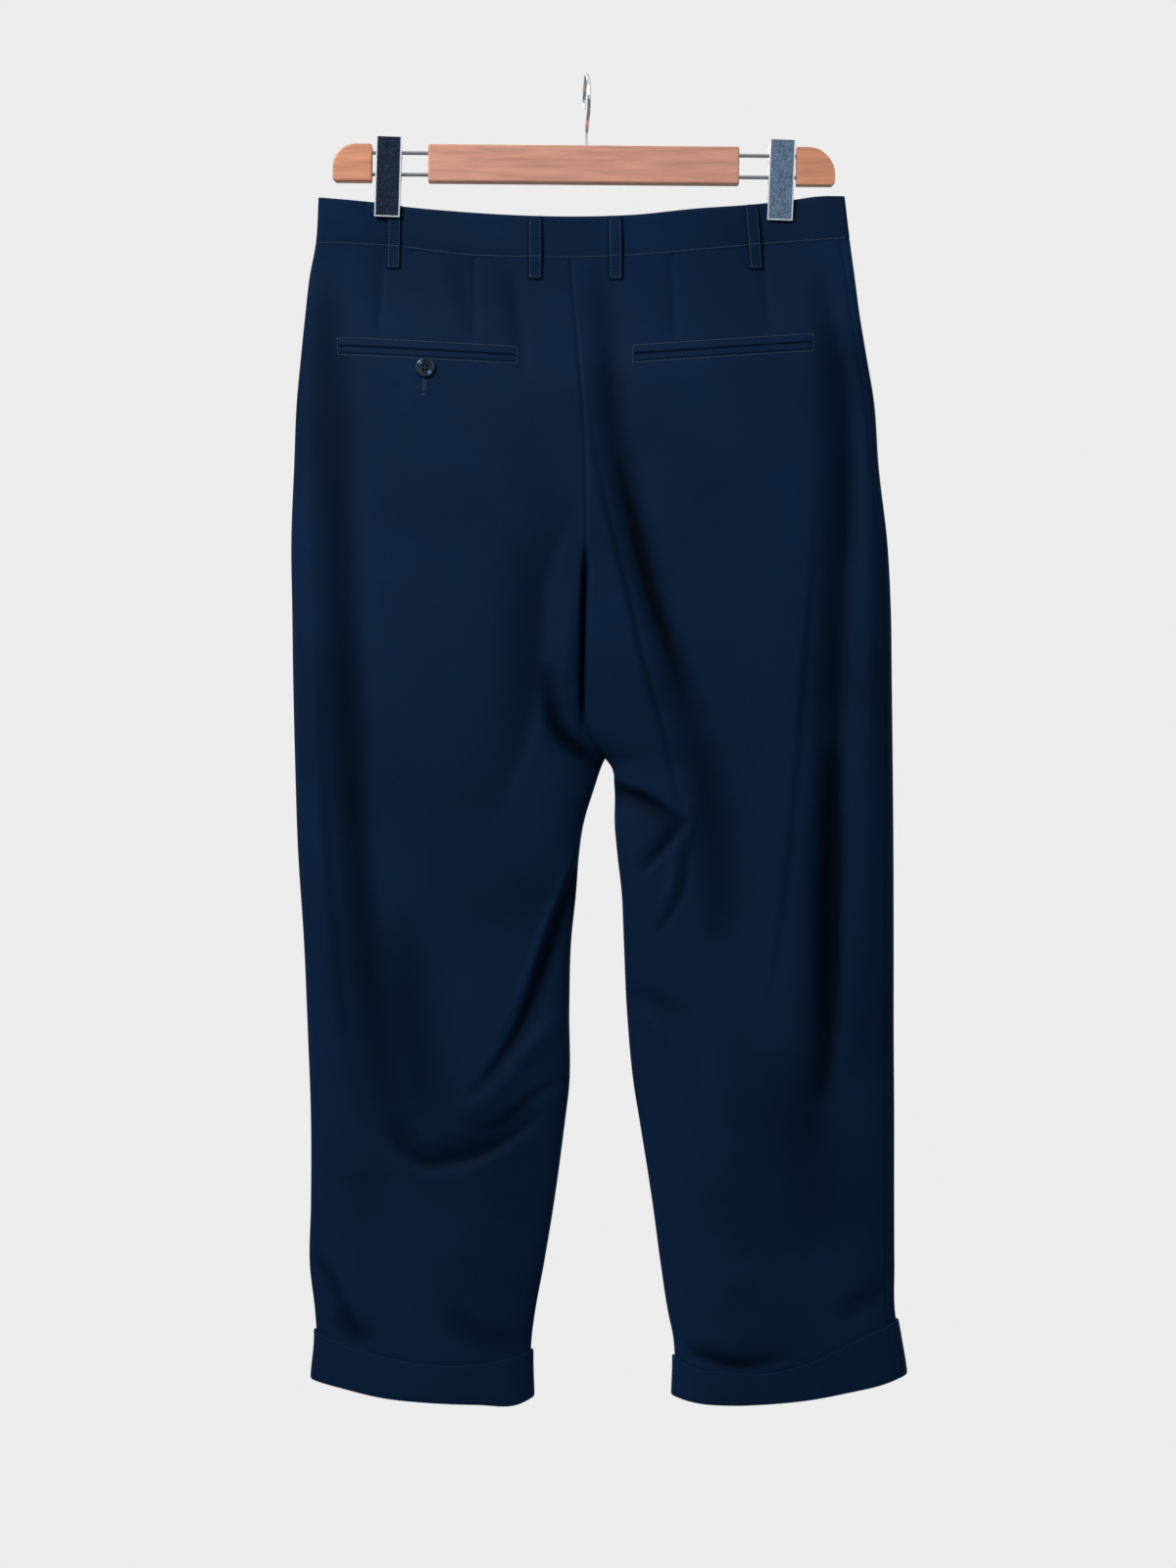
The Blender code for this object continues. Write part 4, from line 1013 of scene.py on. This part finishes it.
def band_piece(name, face, left, right, lift=0.0):
    """A stretch of waistband between two x positions, lifted where its tab laps over the other end."""
    even = np.linspace(0, 1, BAND_COLUMNS)
    x = left + (right - left) * (0.5 * (1 - np.cos(np.pi * even)) / 2 + 0.5 * even)[None, :]
    top = band_top_z(x[0])
    seam = seam_z(x[0]) - BAND_LAP
    up = np.array([0.0, 0.012, 0.03, 0.1, 0.3, 0.5, 0.7, 0.9, 0.97, 0.988, 1.0])[:, None]
    z = seam[None, :] + (top - seam)[None, :] * up
    tuck = groove(np.minimum(up, 1 - up) * BAND_HEIGHT, 0.55, 0.7)
    stitched = groove(up * BAND_HEIGHT - 1.5, 0.35, 1.2)
    skins = []
    for inset in (0.0, BAND_WALL):
        middle = (outer_x(1, z) + outer_x(-1, z)) / 2
        half = (outer_x(1, z) - outer_x(-1, z)) / 2
        s = np.clip((x - middle) / half, -1, 1)
        rim = (1 - np.abs(s) ** BAND_ROUNDNESS) ** (1 / BAND_ROUNDNESS)
        depth = (smooth(BAND, "x", "depth", x) - inset) * rim
        depth = depth + lift * (1 - ease(x, TAB_START_X, TAB_START_X + TAB_RISE))
        rolled = depth + (-tuck - stitched if inset == 0 else tuck)
        skins.append(grid_points(middle + (half - inset) * s, np.maximum(rolled, 0.0), z, face))
    return wall(name, *skins)


def cuff(name, side):
    """The turned-up cuff: a ring outside the leg whose lower edge turns in under it."""
    fractions = column_fractions(CUFF_COLUMNS)
    around = [(value, 1) for value in fractions] + [(value, -1) for value in fractions[::-1][1:-1]]
    share = np.array([value for value, _ in around])
    faces = np.array([value for _, value in around])
    hem = hem_table(side)
    hem_x = outer_x(side, HEM_Z) * (1 - share) + inner_x(side, HEM_Z) * share
    low = smooth(hem, "x", "bottom", hem_x)
    high = smooth(hem, "x", "cuff_top", hem_x)
    wave = 0.8 * np.sin(hem_x / 17.0 + side) * np.sin(hem_x / 41.0 + faces)
    out = CUFF_WALL + CUFF_EASE
    rounded = [(out - 0.5, 1.0), (out - 0.1, 0.985), (out, 0.955)]
    rounded += [(out, rise) for rise in np.linspace(0.9, 0.1, 10)]
    rounded += [(out - 0.1, 0.035), (out - 0.5, 0.008), (out - 1.2, 0.0), (-WALL + 0.4, 0.0), (-WALL, 0.012)]
    rows = [(outset, low + (high - low) * rise) for outset, rise in rounded]
    rows += [(-WALL, low + CUFF_WALL), (CUFF_EASE, low + CUFF_WALL)]
    rows += [(CUFF_EASE, low + (high - low) * rise) for rise in (0.3, 0.6, 0.9, 0.985)]
    rows.append((CUFF_EASE + 0.3, high))
    rings = []
    for outset, z in rows:
        x = np.zeros(share.shape)
        depth = np.zeros(share.shape)
        for face in (1, -1):
            this = faces == face
            got_x, got_depth = section(side, face, share[this], z[this], inset=-outset)
            x[this] = got_x
            depth[this] = got_depth + wave[this] * ease(got_depth, 2, 12) * (1 if outset > 0 else 0)
        depth[(share == 0) | (share == 1)] = 0.0
        rings.append(np.stack([x, faces * depth, z], axis=-1))
    return ring_of_rows(name, rings)


def belt_loop(row, tree):
    down = np.linspace(0, 1, 30)[:, None]
    across = np.linspace(-0.5, 0.5, 9)[None, :] * LOOP_WIDTH
    x = row.top_x + (row.foot_x - row.top_x) * down + across
    top = float(band_top_z(row.top_x)) - 0.3
    z = top + (row.foot_z - top) * down + 0 * across
    return strip(row.name + "_cloth", tree, row.face, x, z, 0.15, 1.5, row.bow)


def pocket_jet(row, tree):
    along = np.linspace(0, 1, 70)[:, None]
    down = np.linspace(0.5, -0.5, 7)[None, :] * row.height
    x = row.outer_x + (row.inner_x - row.outer_x) * along + 0 * down
    z = row.outer_z + (row.inner_z - row.outer_z) * along + down
    # Painted shade along the edges that meet at the slit between the two jets
    edge_shade = (0.2, 0.9) if "upper" in row.name else (0.9, 0.2)
    return strip(row.name + "_cloth", tree, 1, x, z, 0.1, TRIM_WALL, 0.0, edge_shade)


def pocket_reach(down):
    """How far in from the side seam a side pocket's edge lies, from the waist to its foot."""
    return POCKET_EDGE_TOP_REACH - (POCKET_EDGE_TOP_REACH - POCKET_EDGE_FOOT_REACH) * down


def side_pocket_edge(side, side_name, tree):
    """The slanted edge of a side pocket, on the front from the waist seam to the side seam."""
    down = np.linspace(0, 1, 60)[:, None]
    across = np.linspace(0.0, POCKET_EDGE_WIDTH, 7)[None, :]
    top_z = float(seam_z(side * 190.0)) - 1.5
    z = top_z + (POCKET_EDGE_FOOT_Z - top_z) * down + 0 * across
    x = outer_x(side, z) - side * pocket_reach(down) - side * across * (1 - 0.45 * down)
    name = "side_pocket_edge_" + side_name + "_cloth"
    # Painted shade along both long edges, darkest on the side nearer the side seam
    return strip(name, tree, -1, x, z, 0.1, TRIM_WALL, 0.0, (0.85, 0.3))


def fly_shield(tree):
    """The strip behind the fly, which backs both fronts at the centre."""
    down = np.linspace(0, 1, 40)[:, None]
    across = np.linspace(-18.0, 18.0, 5)[None, :]
    z = FLY_SHIELD_TOP_Z + (FLY_END_Z - FLY_SHIELD_TOP_Z) * down + 0 * across
    x = centre_x(z) + across
    under = centre_x(z) + np.array([-22.0, -18.0, -14.0, -11.0, -9.0])[None, :]
    depth = cloth_depth(tree, -1, under, z).min(axis=1)[:, None] - WALL - 0.7 + 0 * across
    inner = grid_points(x, depth - TRIM_WALL, z, -1)
    return wall("fly_shield_cloth", grid_points(x, depth, z, -1), inner)


# ---------------------------------------------------------------- the stitched lines


def loop_lines(row):
    """The two lines down a belt loop and the one across its foot."""
    top = float(band_top_z(row.top_x)) - 3
    sides = (-LOOP_STITCH_X, LOOP_STITCH_X)
    lines = [[(row.top_x + across, top), (row.foot_x + across, row.foot_z + 1)] for across in sides]
    lines.append([(row.foot_x - 5, row.foot_z + 2.2), (row.foot_x + 5, row.foot_z + 2.2)])
    return lines


def jet_lines(upper, lower):
    """The box of stitches round a back pocket."""
    toward = 1.2 if upper.outer_x > 0 else -1.2
    outer = upper.outer_x + toward
    inner = upper.inner_x - toward
    high = ((outer, upper.outer_z + JET_STITCH_OUT), (inner, upper.inner_z + JET_STITCH_OUT))
    low = ((outer, lower.outer_z - JET_STITCH_OUT), (inner, lower.inner_z - JET_STITCH_OUT))
    return [high, low, (high[0], low[0]), (high[1], low[1])]


def front_lines():
    """The lines beside the two side pockets and the curved one down the fly."""
    lines = []
    for side, _ in SIDES:
        down = np.linspace(0, 1, 24)
        z = SIDE_TOP_Z - 1.0 - 174.0 * down
        x = outer_x(side, z) - side * pocket_reach(down) - side * (11.5 - 4.5 * down)
        lines.append(list(zip(x, z)))
    fly = [(centre_x(z) + FLY_STITCH_OUT, z) for z in (-160.0, FLY_CURVE_Z)]
    for turn in np.radians(np.linspace(0, 90, 12))[1:]:
        x = centre_x(FLY_END_Z) + FLY_STITCH_OUT * math.cos(turn)
        fly.append((x, FLY_CURVE_Z - 38.0 * math.sin(turn)))
    lines.append([(float(x), z) for x, z in fly])
    return lines


def stitched_lines(face):
    lines = [[(x, float(seam_z(x)) + SEAM_STITCH_RISE) for x in np.linspace(226, -219, 120)]]
    for row in LOOPS:
        if row.face == face:
            lines += loop_lines(row)
    if face < 0:
        return lines + front_lines()
    return lines + jet_lines(*BACK_JETS[:2]) + jet_lines(*BACK_JETS[2:])


# ---------------------------------------------------------------- the hard pieces


def new_item(name):
    """The primitive that was just added, under its own name."""
    item = bpy.context.object
    item.name = name
    item.data.name = name
    return item


def edit_top_face(item):
    """Opens a mesh for editing with its highest face selected."""
    bpy.ops.object.mode_set(mode="EDIT")
    work = bmesh.from_edit_mesh(item.data)
    bpy.ops.mesh.select_mode(type="FACE")
    bpy.ops.mesh.select_all(action="DESELECT")
    work.faces.ensure_lookup_table()
    top = max(work.faces, key=lambda one: one.calc_center_median().z)
    top.select = True
    work.faces.active = top
    bmesh.update_edit_mesh(item.data)


def round_edges(item, width, segments, angle):
    rounding = item.modifiers.new("Rounded edges", "BEVEL")
    rounding.width = width * MM
    rounding.segments = segments
    rounding.limit_method = "ANGLE"
    rounding.angle_limit = math.radians(angle)
    bpy.ops.object.modifier_apply(modifier=rounding.name)


def settle(item):
    """Moves a piece's place into its mesh and shades it smooth between its sharp edges."""
    bpy.ops.object.select_all(action="DESELECT")
    item.select_set(True)
    bpy.context.view_layer.objects.active = item
    bpy.ops.object.transform_apply(location=True, rotation=True, scale=True)
    bpy.ops.object.shade_smooth_by_angle(angle=math.radians(35))
    return item


def sewn_button(row, tree, radius):
    """A four-hole button with a raised rim and a dished middle."""
    near = np.array([row.x - 6, row.x, row.x + 6])
    rest = float(cloth_depth(tree, row.face, near, row.z).max()) + 0.3
    bpy.ops.object.select_all(action="DESELECT")
    bpy.ops.mesh.primitive_cylinder_add(vertices=64, radius=radius, depth=BUTTON_DEPTH * MM)
    item = new_item(row.name + "_horn")
    edit_top_face(item)
    for width, rise in ((0.6, 0.7), (1.0, 0.35), (1.0, -0.8), (0.5, 0.45), (0.9, -0.45)):
        bpy.ops.mesh.inset(thickness=width * MM, depth=rise * MM)
    bpy.ops.object.mode_set(mode="OBJECT")
    round_edges(item, 0.2, 2, 30)
    for step in range(4):
        turn = math.radians(45 + 90 * step)
        place_at = (HOLE_CIRCLE * MM * math.cos(turn), HOLE_CIRCLE * MM * math.sin(turn), 0)
        bpy.ops.mesh.primitive_cylinder_add(
            vertices=20, radius=HOLE_RADIUS * MM, depth=8 * MM, location=place_at,
        )
        hole = bpy.context.object
        cut = item.modifiers.new("Thread hole", "BOOLEAN")
        cut.object = hole
        cut.operation = "DIFFERENCE"
        bpy.context.view_layer.objects.active = item
        bpy.ops.object.modifier_apply(modifier=cut.name)
        bpy.data.objects.remove(hole)
    item.rotation_euler = (math.radians(-90 * row.face), 0, 0)
    item.location = (row.x * MM, row.face * (rest + BUTTON_DEPTH / 2) * MM, row.z * MM)
    return settle(item)


def clip_plate(solid, name, face):
    """A clip's plate with rounded bright edges round a sunk face, in the place of its solid."""
    corners = np.array([solid.matrix_world @ vertex.co for vertex in solid.data.vertices])
    around = corners - (corners.max(axis=0) + corners.min(axis=0)) / 2
    axes = np.linalg.svd(around, full_matrices=False)[2]
    tall = axes[0] * np.sign(axes[0][2])
    out = axes[2] * np.sign(axes[2][1]) * face
    wide = np.cross(tall, out)
    turn = Matrix(np.stack([wide, tall, out], axis=1).tolist())
    spans = [corners @ axis for axis in (wide, tall, out)]
    size = [float(np.ptp(span)) for span in spans]
    centre = turn @ Vector([float(span.max() + span.min()) / 2 for span in spans])
    bpy.ops.object.select_all(action="DESELECT")
    bpy.ops.mesh.primitive_cube_add(size=1)
    item = new_item(name)
    item.scale = size
    bpy.ops.object.transform_apply(location=False, rotation=False, scale=True)
    edit_top_face(item)
    bpy.ops.mesh.inset(thickness=RIM_WIDTH, depth=0.0)
    work = bmesh.from_edit_mesh(item.data)
    top = max(vertex.co.y for vertex in work.verts if vertex.select)
    for vertex in work.verts:
        if vertex.select and vertex.co.y > top - 0.1 * MM:
            vertex.co.y += 0.8 * RIM_WIDTH
    bmesh.update_edit_mesh(item.data)
    bpy.ops.mesh.inset(thickness=0.15 * MM, depth=-0.2 * MM)
    bpy.ops.object.mode_set(mode="OBJECT")
    round_edges(item, 0.45, 3, 60)
    item.matrix_world = Matrix.Translation(centre) @ turn.to_4x4()
    return settle(item)


# ---------------------------------------------------------------- the operators


class TrouserSettings(bpy.types.PropertyGroup):
    """Sizes and colours that a user would change."""

    stitch_length: FloatProperty(
        name="Stitch length", description="Length of one visible stitch", unit="LENGTH",
        min=0.5 * MM, max=2.4 * MM, default=1.6 * MM,
    )
    button_radius: FloatProperty(
        name="Button radius", description="Radius of the two buttons", unit="LENGTH",
        min=6.5 * MM, max=8.6 * MM, default=8.3 * MM,
    )
    cloth_colour: FloatVectorProperty(
        name="Cloth colour", description="Colour of the suiting", subtype="COLOR", size=3,
        min=0.0, max=1.0, default=(0.0045, 0.0177, 0.0510),
    )
    thread_colour: FloatVectorProperty(
        name="Thread colour", description="Colour of the visible stitching", subtype="COLOR", size=3,
        min=0.0, max=1.0, default=(0.060, 0.095, 0.150),
    )
    wood_colour: FloatVectorProperty(
        name="Wood colour", description="Colour of the hanger's bar", subtype="COLOR", size=3,
        min=0.0, max=1.0, default=(0.78, 0.375, 0.265),
    )
    cap_colour: FloatVectorProperty(
        name="End cap colour", description="Colour of the hanger's end caps", subtype="COLOR", size=3,
        min=0.0, max=1.0, default=(0.80, 0.335, 0.185),
    )
    backdrop_grey: FloatProperty(
        name="Backdrop grey", description="Lightness of the backdrop", subtype="FACTOR",
        min=0.0, max=1.0, default=0.84,
    )


class TROUSERS_OT_legs(bpy.types.Operator):
    """Builds the four leg panels and the strip behind the fly"""

    bl_idname = "trousers.legs"
    bl_label = "Leg Panels"

    def execute(self, context):
        cloth = shared_material("navy suiting")
        for name in SHELL:
            side = 1 if name.endswith("left") else -1
            face = 1 if name.startswith("back") else -1
            place(leg_panel(name + "_cloth", side, face), cloth, "cloth", name)
        shield = fly_shield(cloth_tree(["front_left", "front_right"]))
        place(shield, cloth, "cloth", "fly_shield")
        return {"FINISHED"}


class TROUSERS_OT_waistband(bpy.types.Operator):
    """Builds the waistband's pieces and the belt loops"""

    bl_idname = "trousers.waistband"
    bl_label = "Waistband and Belt Loops"

    def execute(self, context):
        cloth = shared_material("navy suiting")
        stretches = (
            (1, BAND_LEFT_END, BAND_RIGHT_END, 0.0),
            (-1, BAND_LEFT_END, TAB_END_X, BAND_WALL + TAB_LIFT),
            (-1, UNDERLAP_END_X, BAND_RIGHT_END, 0.0),
        )
        for name, (face, left, right, lift) in zip(BANDS, stretches):
            place(band_piece(name + "_cloth", face, left, right, lift), cloth, "cloth", name)
        tree = cloth_tree(SHELL + BANDS)
        for row in LOOPS:
            place(belt_loop(row, tree), cloth, "cloth", row.name)
        return {"FINISHED"}


class TROUSERS_OT_pockets(bpy.types.Operator):
    """Builds the back pockets' jets and the side pockets' edges"""

    bl_idname = "trousers.pockets"
    bl_label = "Pockets"

    def execute(self, context):
        cloth = shared_material("navy suiting")
        tree = cloth_tree(SHELL)
        for row in BACK_JETS:
            place(pocket_jet(row, tree), cloth, "cloth", row.name)
        for side, side_name in SIDES:
            edge = side_pocket_edge(side, side_name, tree)
            place(edge, cloth, "cloth", "side_pocket_edge_" + side_name)
        return {"FINISHED"}


class TROUSERS_OT_cuffs(bpy.types.Operator):
    """Builds the two turned-up cuffs"""

    bl_idname = "trousers.cuffs"
    bl_label = "Cuffs"

    def execute(self, context):
        cloth = shared_material("navy suiting")
        for side, side_name in SIDES:
            name = "cuff_" + side_name
            place(cuff(name + "_cloth", side), cloth, "cloth", name)
        return {"FINISHED"}


class TROUSERS_OT_stitching(bpy.types.Operator):
    """Sets the visible stitches along the waist seam, the belt loops, the pockets and the fly"""

    bl_idname = "trousers.stitching"
    bl_label = "Stitching"

    def execute(self, context):
        thread = shared_material("sewing thread")
        length = settings().stitch_length / MM
        trims = tuple(row.name for row in LOOPS + BACK_JETS)
        trims += tuple("side_pocket_edge_" + side_name for _, side_name in SIDES)
        tree = cloth_tree(SHELL + BANDS + trims)
        for face, name in ((1, "back_stitching"), (-1, "front_stitching")):
            stitches = stitch_boxes(stitched_lines(face), tree, face, length)
            if face > 0:
                slit = [[(x, -254.8), (x, -268.0)] for x in (135.3, 137.5)]
                slit.append([(134.6, -271.0), (138.2, -271.0)])
                stitches = stitch_boxes(slit, tree, face, 1.3, 1.4, 0.8, 0.2, stitches)
            place(mesh_object(name, *stitches), thread, "cloth")
        return {"FINISHED"}


class TROUSERS_OT_buttons(bpy.types.Operator):
    """Models the pocket button and the waist button"""

    bl_idname = "trousers.buttons"
    bl_label = "Buttons"

    def execute(self, context):
        horn = shared_material("navy button horn")
        tree = cloth_tree(SHELL + BANDS)
        for row in BUTTONS:
            place(sewn_button(row, tree, settings().button_radius), horn, "button", row.name)
        return {"FINISHED"}


class TROUSERS_OT_hanger(bpy.types.Operator):
    """Gives the hanger's wood and steel their finish"""

    bl_idname = "trousers.hanger"
    bl_label = "Hanger"

    def execute(self, context):
        rod = steel_material("rod steel", (0.30, 0.31, 0.34), 0.25, 0.1)
        finishes = {
            "wood_bar": wood_material("bar wood", tuple(settings().wood_colour)),
            "end_cap": wood_material("end cap wood", tuple(settings().cap_colour)),
            "hook": steel_material("hook steel", (0.62, 0.63, 0.65), 0.16),
            "rod": rod,
            "clip_saddle": rod,
        }
        chrome = steel_material("bright chrome", (0.86, 0.88, 0.92), 0.22)
        chrome.node_tree.nodes["Principled BSDF"].inputs["Metallic"].default_value = 0.7
        # Painted reflections: the two sunk faces are the same chrome, coloured near-black navy on the left
        # clip and pale blue-grey on the right for what each reflects; both are blotched alike.
        sunk_faces = {
            "left": steel_material("dark chrome face", (0.022, 0.034, 0.062), 0.2, 0.5),
            "right": steel_material("worn chrome face", (0.150, 0.225, 0.330), 0.3, 0.5),
        }
        for name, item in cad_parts.items():
            for start, finish in finishes.items():
                if name.startswith(start):
                    item.data.materials.clear()
                    item.data.materials.append(finish)
            if name.startswith("clip_plate"):
                face = 1 if "back" in name else -1
                plate = clip_plate(item, name + "_chrome", face)
                place(plate, chrome, "steel", name)
                plate.data.materials.append(sunk_faces[name.split("_")[-1]])
                outward = [one for one in plate.data.polygons if one.normal.y * face > 0.9]
                max(outward, key=lambda one: one.area).material_index = 1
        return {"FINISHED"}


class TROUSERS_OT_sheets(bpy.types.Operator):
    """Sorts the trims by the piece of cloth that each is sewn to; the result is not kept"""

    bl_idname = "trousers.sheets"
    bl_label = "Cut Sizes"

    def execute(self, context):
        trims = {row.name: [] for row in CUTS}
        for row in BACK_JETS:
            trims["back_" + row.name.split("_")[-1]].append(row.name)
        for row in LOOPS:
            home = "waistband_front_" + row.name.split("_")[-1]
            trims["waistband_back" if row.face > 0 else home].append(row.name)
        trims["front_left"] += ["side_pocket_edge_left", "fly_shield"]
        trims["front_right"].append("side_pocket_edge_right")
        return {"FINISHED"}


def pale_floor(grey):
    """A plain floor that looks as pale as the backdrop and throws little light back."""
    bpy.ops.object.select_all(action="DESELECT")
    bpy.ops.mesh.primitive_plane_add(size=12.0, location=(0, 0, -1.5))
    floor = new_item("floor")
    material, tree, shader = principled("pale floor", Roughness=0.9)
    shader.inputs["Base Color"].default_value = (0.35, 0.35, 0.35, 1.0)
    glow = tree.nodes.new("ShaderNodeEmission")
    glow.inputs["Color"].default_value = (grey, grey, grey, 1.0)
    seen = tree.nodes.new("ShaderNodeLightPath")
    blend = tree.nodes.new("ShaderNodeMixShader")
    tree.links.new(seen.outputs["Is Camera Ray"], blend.inputs["Fac"])
    tree.links.new(shader.outputs["BSDF"], blend.inputs[1])
    tree.links.new(glow.outputs["Emission"], blend.inputs[2])
    tree.links.new(blend.outputs["Shader"], tree.nodes["Material Output"].inputs["Surface"])
    floor.data.materials.append(material)
    return floor


def studio_world(grey):
    """A plain backdrop, faint light from all round, and a darker room ahead of each face for gloss."""
    world = bpy.data.worlds.new("studio")
    world.use_nodes = True
    nodes = world.node_tree.nodes
    link = world.node_tree.links.new
    backdrop = nodes["Background"]
    backdrop.inputs["Color"].default_value = (grey, grey, grey, 1.0)
    room = nodes.new("ShaderNodeBackground")
    room.inputs["Color"].default_value = (0.85, 0.93, 1.0, 1.0)
    room.inputs["Strength"].default_value = 0.05
    mirror = nodes.new("ShaderNodeBackground")
    where = nodes.new("ShaderNodeTexCoord")
    parts = nodes.new("ShaderNodeSeparateXYZ")
    ahead = nodes.new("ShaderNodeMath")
    ahead.operation = "ABSOLUTE"
    ramp = nodes.new("ShaderNodeValToRGB")
    for position, lightness in ((0.35, 1.0), (0.80, 0.75), (0.93, 0.16), (1.0, 0.05)):
        stop = ramp.color_ramp.elements.new(position)
        stop.color = (lightness, lightness * 1.02, lightness * 1.06, 1.0)
    ramp.color_ramp.elements.remove(ramp.color_ramp.elements[0])
    seen = nodes.new("ShaderNodeLightPath")
    mirrored = nodes.new("ShaderNodeMixShader")
    mix = nodes.new("ShaderNodeMixShader")
    link(where.outputs["Generated"], parts.inputs["Vector"])
    link(parts.outputs["Y"], ahead.inputs[0])
    link(ahead.outputs[0], ramp.inputs["Fac"])
    link(ramp.outputs["Color"], mirror.inputs["Color"])
    link(seen.outputs["Is Glossy Ray"], mirrored.inputs["Fac"])
    link(room.outputs["Background"], mirrored.inputs[1])
    link(mirror.outputs["Background"], mirrored.inputs[2])
    link(seen.outputs["Is Camera Ray"], mix.inputs["Fac"])
    link(mirrored.outputs["Shader"], mix.inputs[1])
    link(backdrop.outputs["Background"], mix.inputs[2])
    link(mix.outputs["Shader"], nodes["World Output"].inputs["Surface"])
    return world


class TROUSERS_OT_stage(bpy.types.Operator):
    """Sets the floor, the studio light and the camera"""

    bl_idname = "trousers.stage"
    bl_label = "Stage"

    def execute(self, context):
        scene = context.scene
        scene.view_settings.view_transform = "Standard"
        pale_floor(settings().backdrop_grey)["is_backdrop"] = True
        scene.world = studio_world(settings().backdrop_grey)
        for row in LAMPS:
            light = bpy.data.lights.new(row.name, "AREA")
            light.size = row.size
            light.energy = row.power
            lamp = bpy.data.objects.new(row.name, light)
            lamp.location = row.spot
            lamp.rotation_euler = (LAMP_AIM - Vector(row.spot)).to_track_quat("-Z", "Y").to_euler()
            scene.collection.objects.link(lamp)
        camera = bpy.data.cameras.new("camera")
        camera.sensor_width = SENSOR
        camera.lens = SENSOR * CAMERA_DISTANCE / VIEW_HEIGHT
        seat = bpy.data.objects.new("camera", camera)
        seat.location = (CAMERA_X, CAMERA_DISTANCE, CAMERA_Z)
        seat.rotation_euler = (math.radians(90), 0, math.radians(180))
        scene.collection.objects.link(seat)
        scene.camera = seat
        return {"FINISHED"}


class TROUSERS_PT_panel(bpy.types.Panel):
    """Lists the trousers' steps and colours"""

    bl_label = "Dress Trousers"
    bl_idname = "TROUSERS_PT_panel"
    bl_space_type = "VIEW_3D"
    bl_region_type = "UI"
    bl_category = "Trousers"

    def draw(self, context):
        chosen = context.scene.dress_trousers
        for name in TrouserSettings.__annotations__:
            self.layout.prop(chosen, name)
        for step in STEPS:
            self.layout.operator(step.bl_idname)


STEPS = (
    TROUSERS_OT_stage,
    TROUSERS_OT_legs,
    TROUSERS_OT_waistband,
    TROUSERS_OT_pockets,
    TROUSERS_OT_cuffs,
    TROUSERS_OT_stitching,
    TROUSERS_OT_buttons,
    TROUSERS_OT_hanger,
    TROUSERS_OT_sheets,
)
CLASSES = (TrouserSettings, *STEPS, TROUSERS_PT_panel)


def register():
    for one in CLASSES:
        bpy.utils.register_class(one)
    bpy.types.Scene.dress_trousers = bpy.props.PointerProperty(type=TrouserSettings)


def unregister():
    del bpy.types.Scene.dress_trousers
    for one in reversed(CLASSES):
        bpy.utils.unregister_class(one)


def main():
    register()
    bpy.ops.trousers.stage()
    bpy.ops.trousers.legs()
    bpy.ops.trousers.waistband()
    bpy.ops.trousers.pockets()
    bpy.ops.trousers.cuffs()
    bpy.ops.trousers.stitching()
    bpy.ops.trousers.buttons()
    bpy.ops.trousers.hanger()
    bpy.ops.trousers.sheets()
    boxes = {"cad": CAD_BOX, "visual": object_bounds()}
    boxes = {name: [list(corner) for corner in box] for name, box in boxes.items()}


if __name__ == "__main__":
    main()
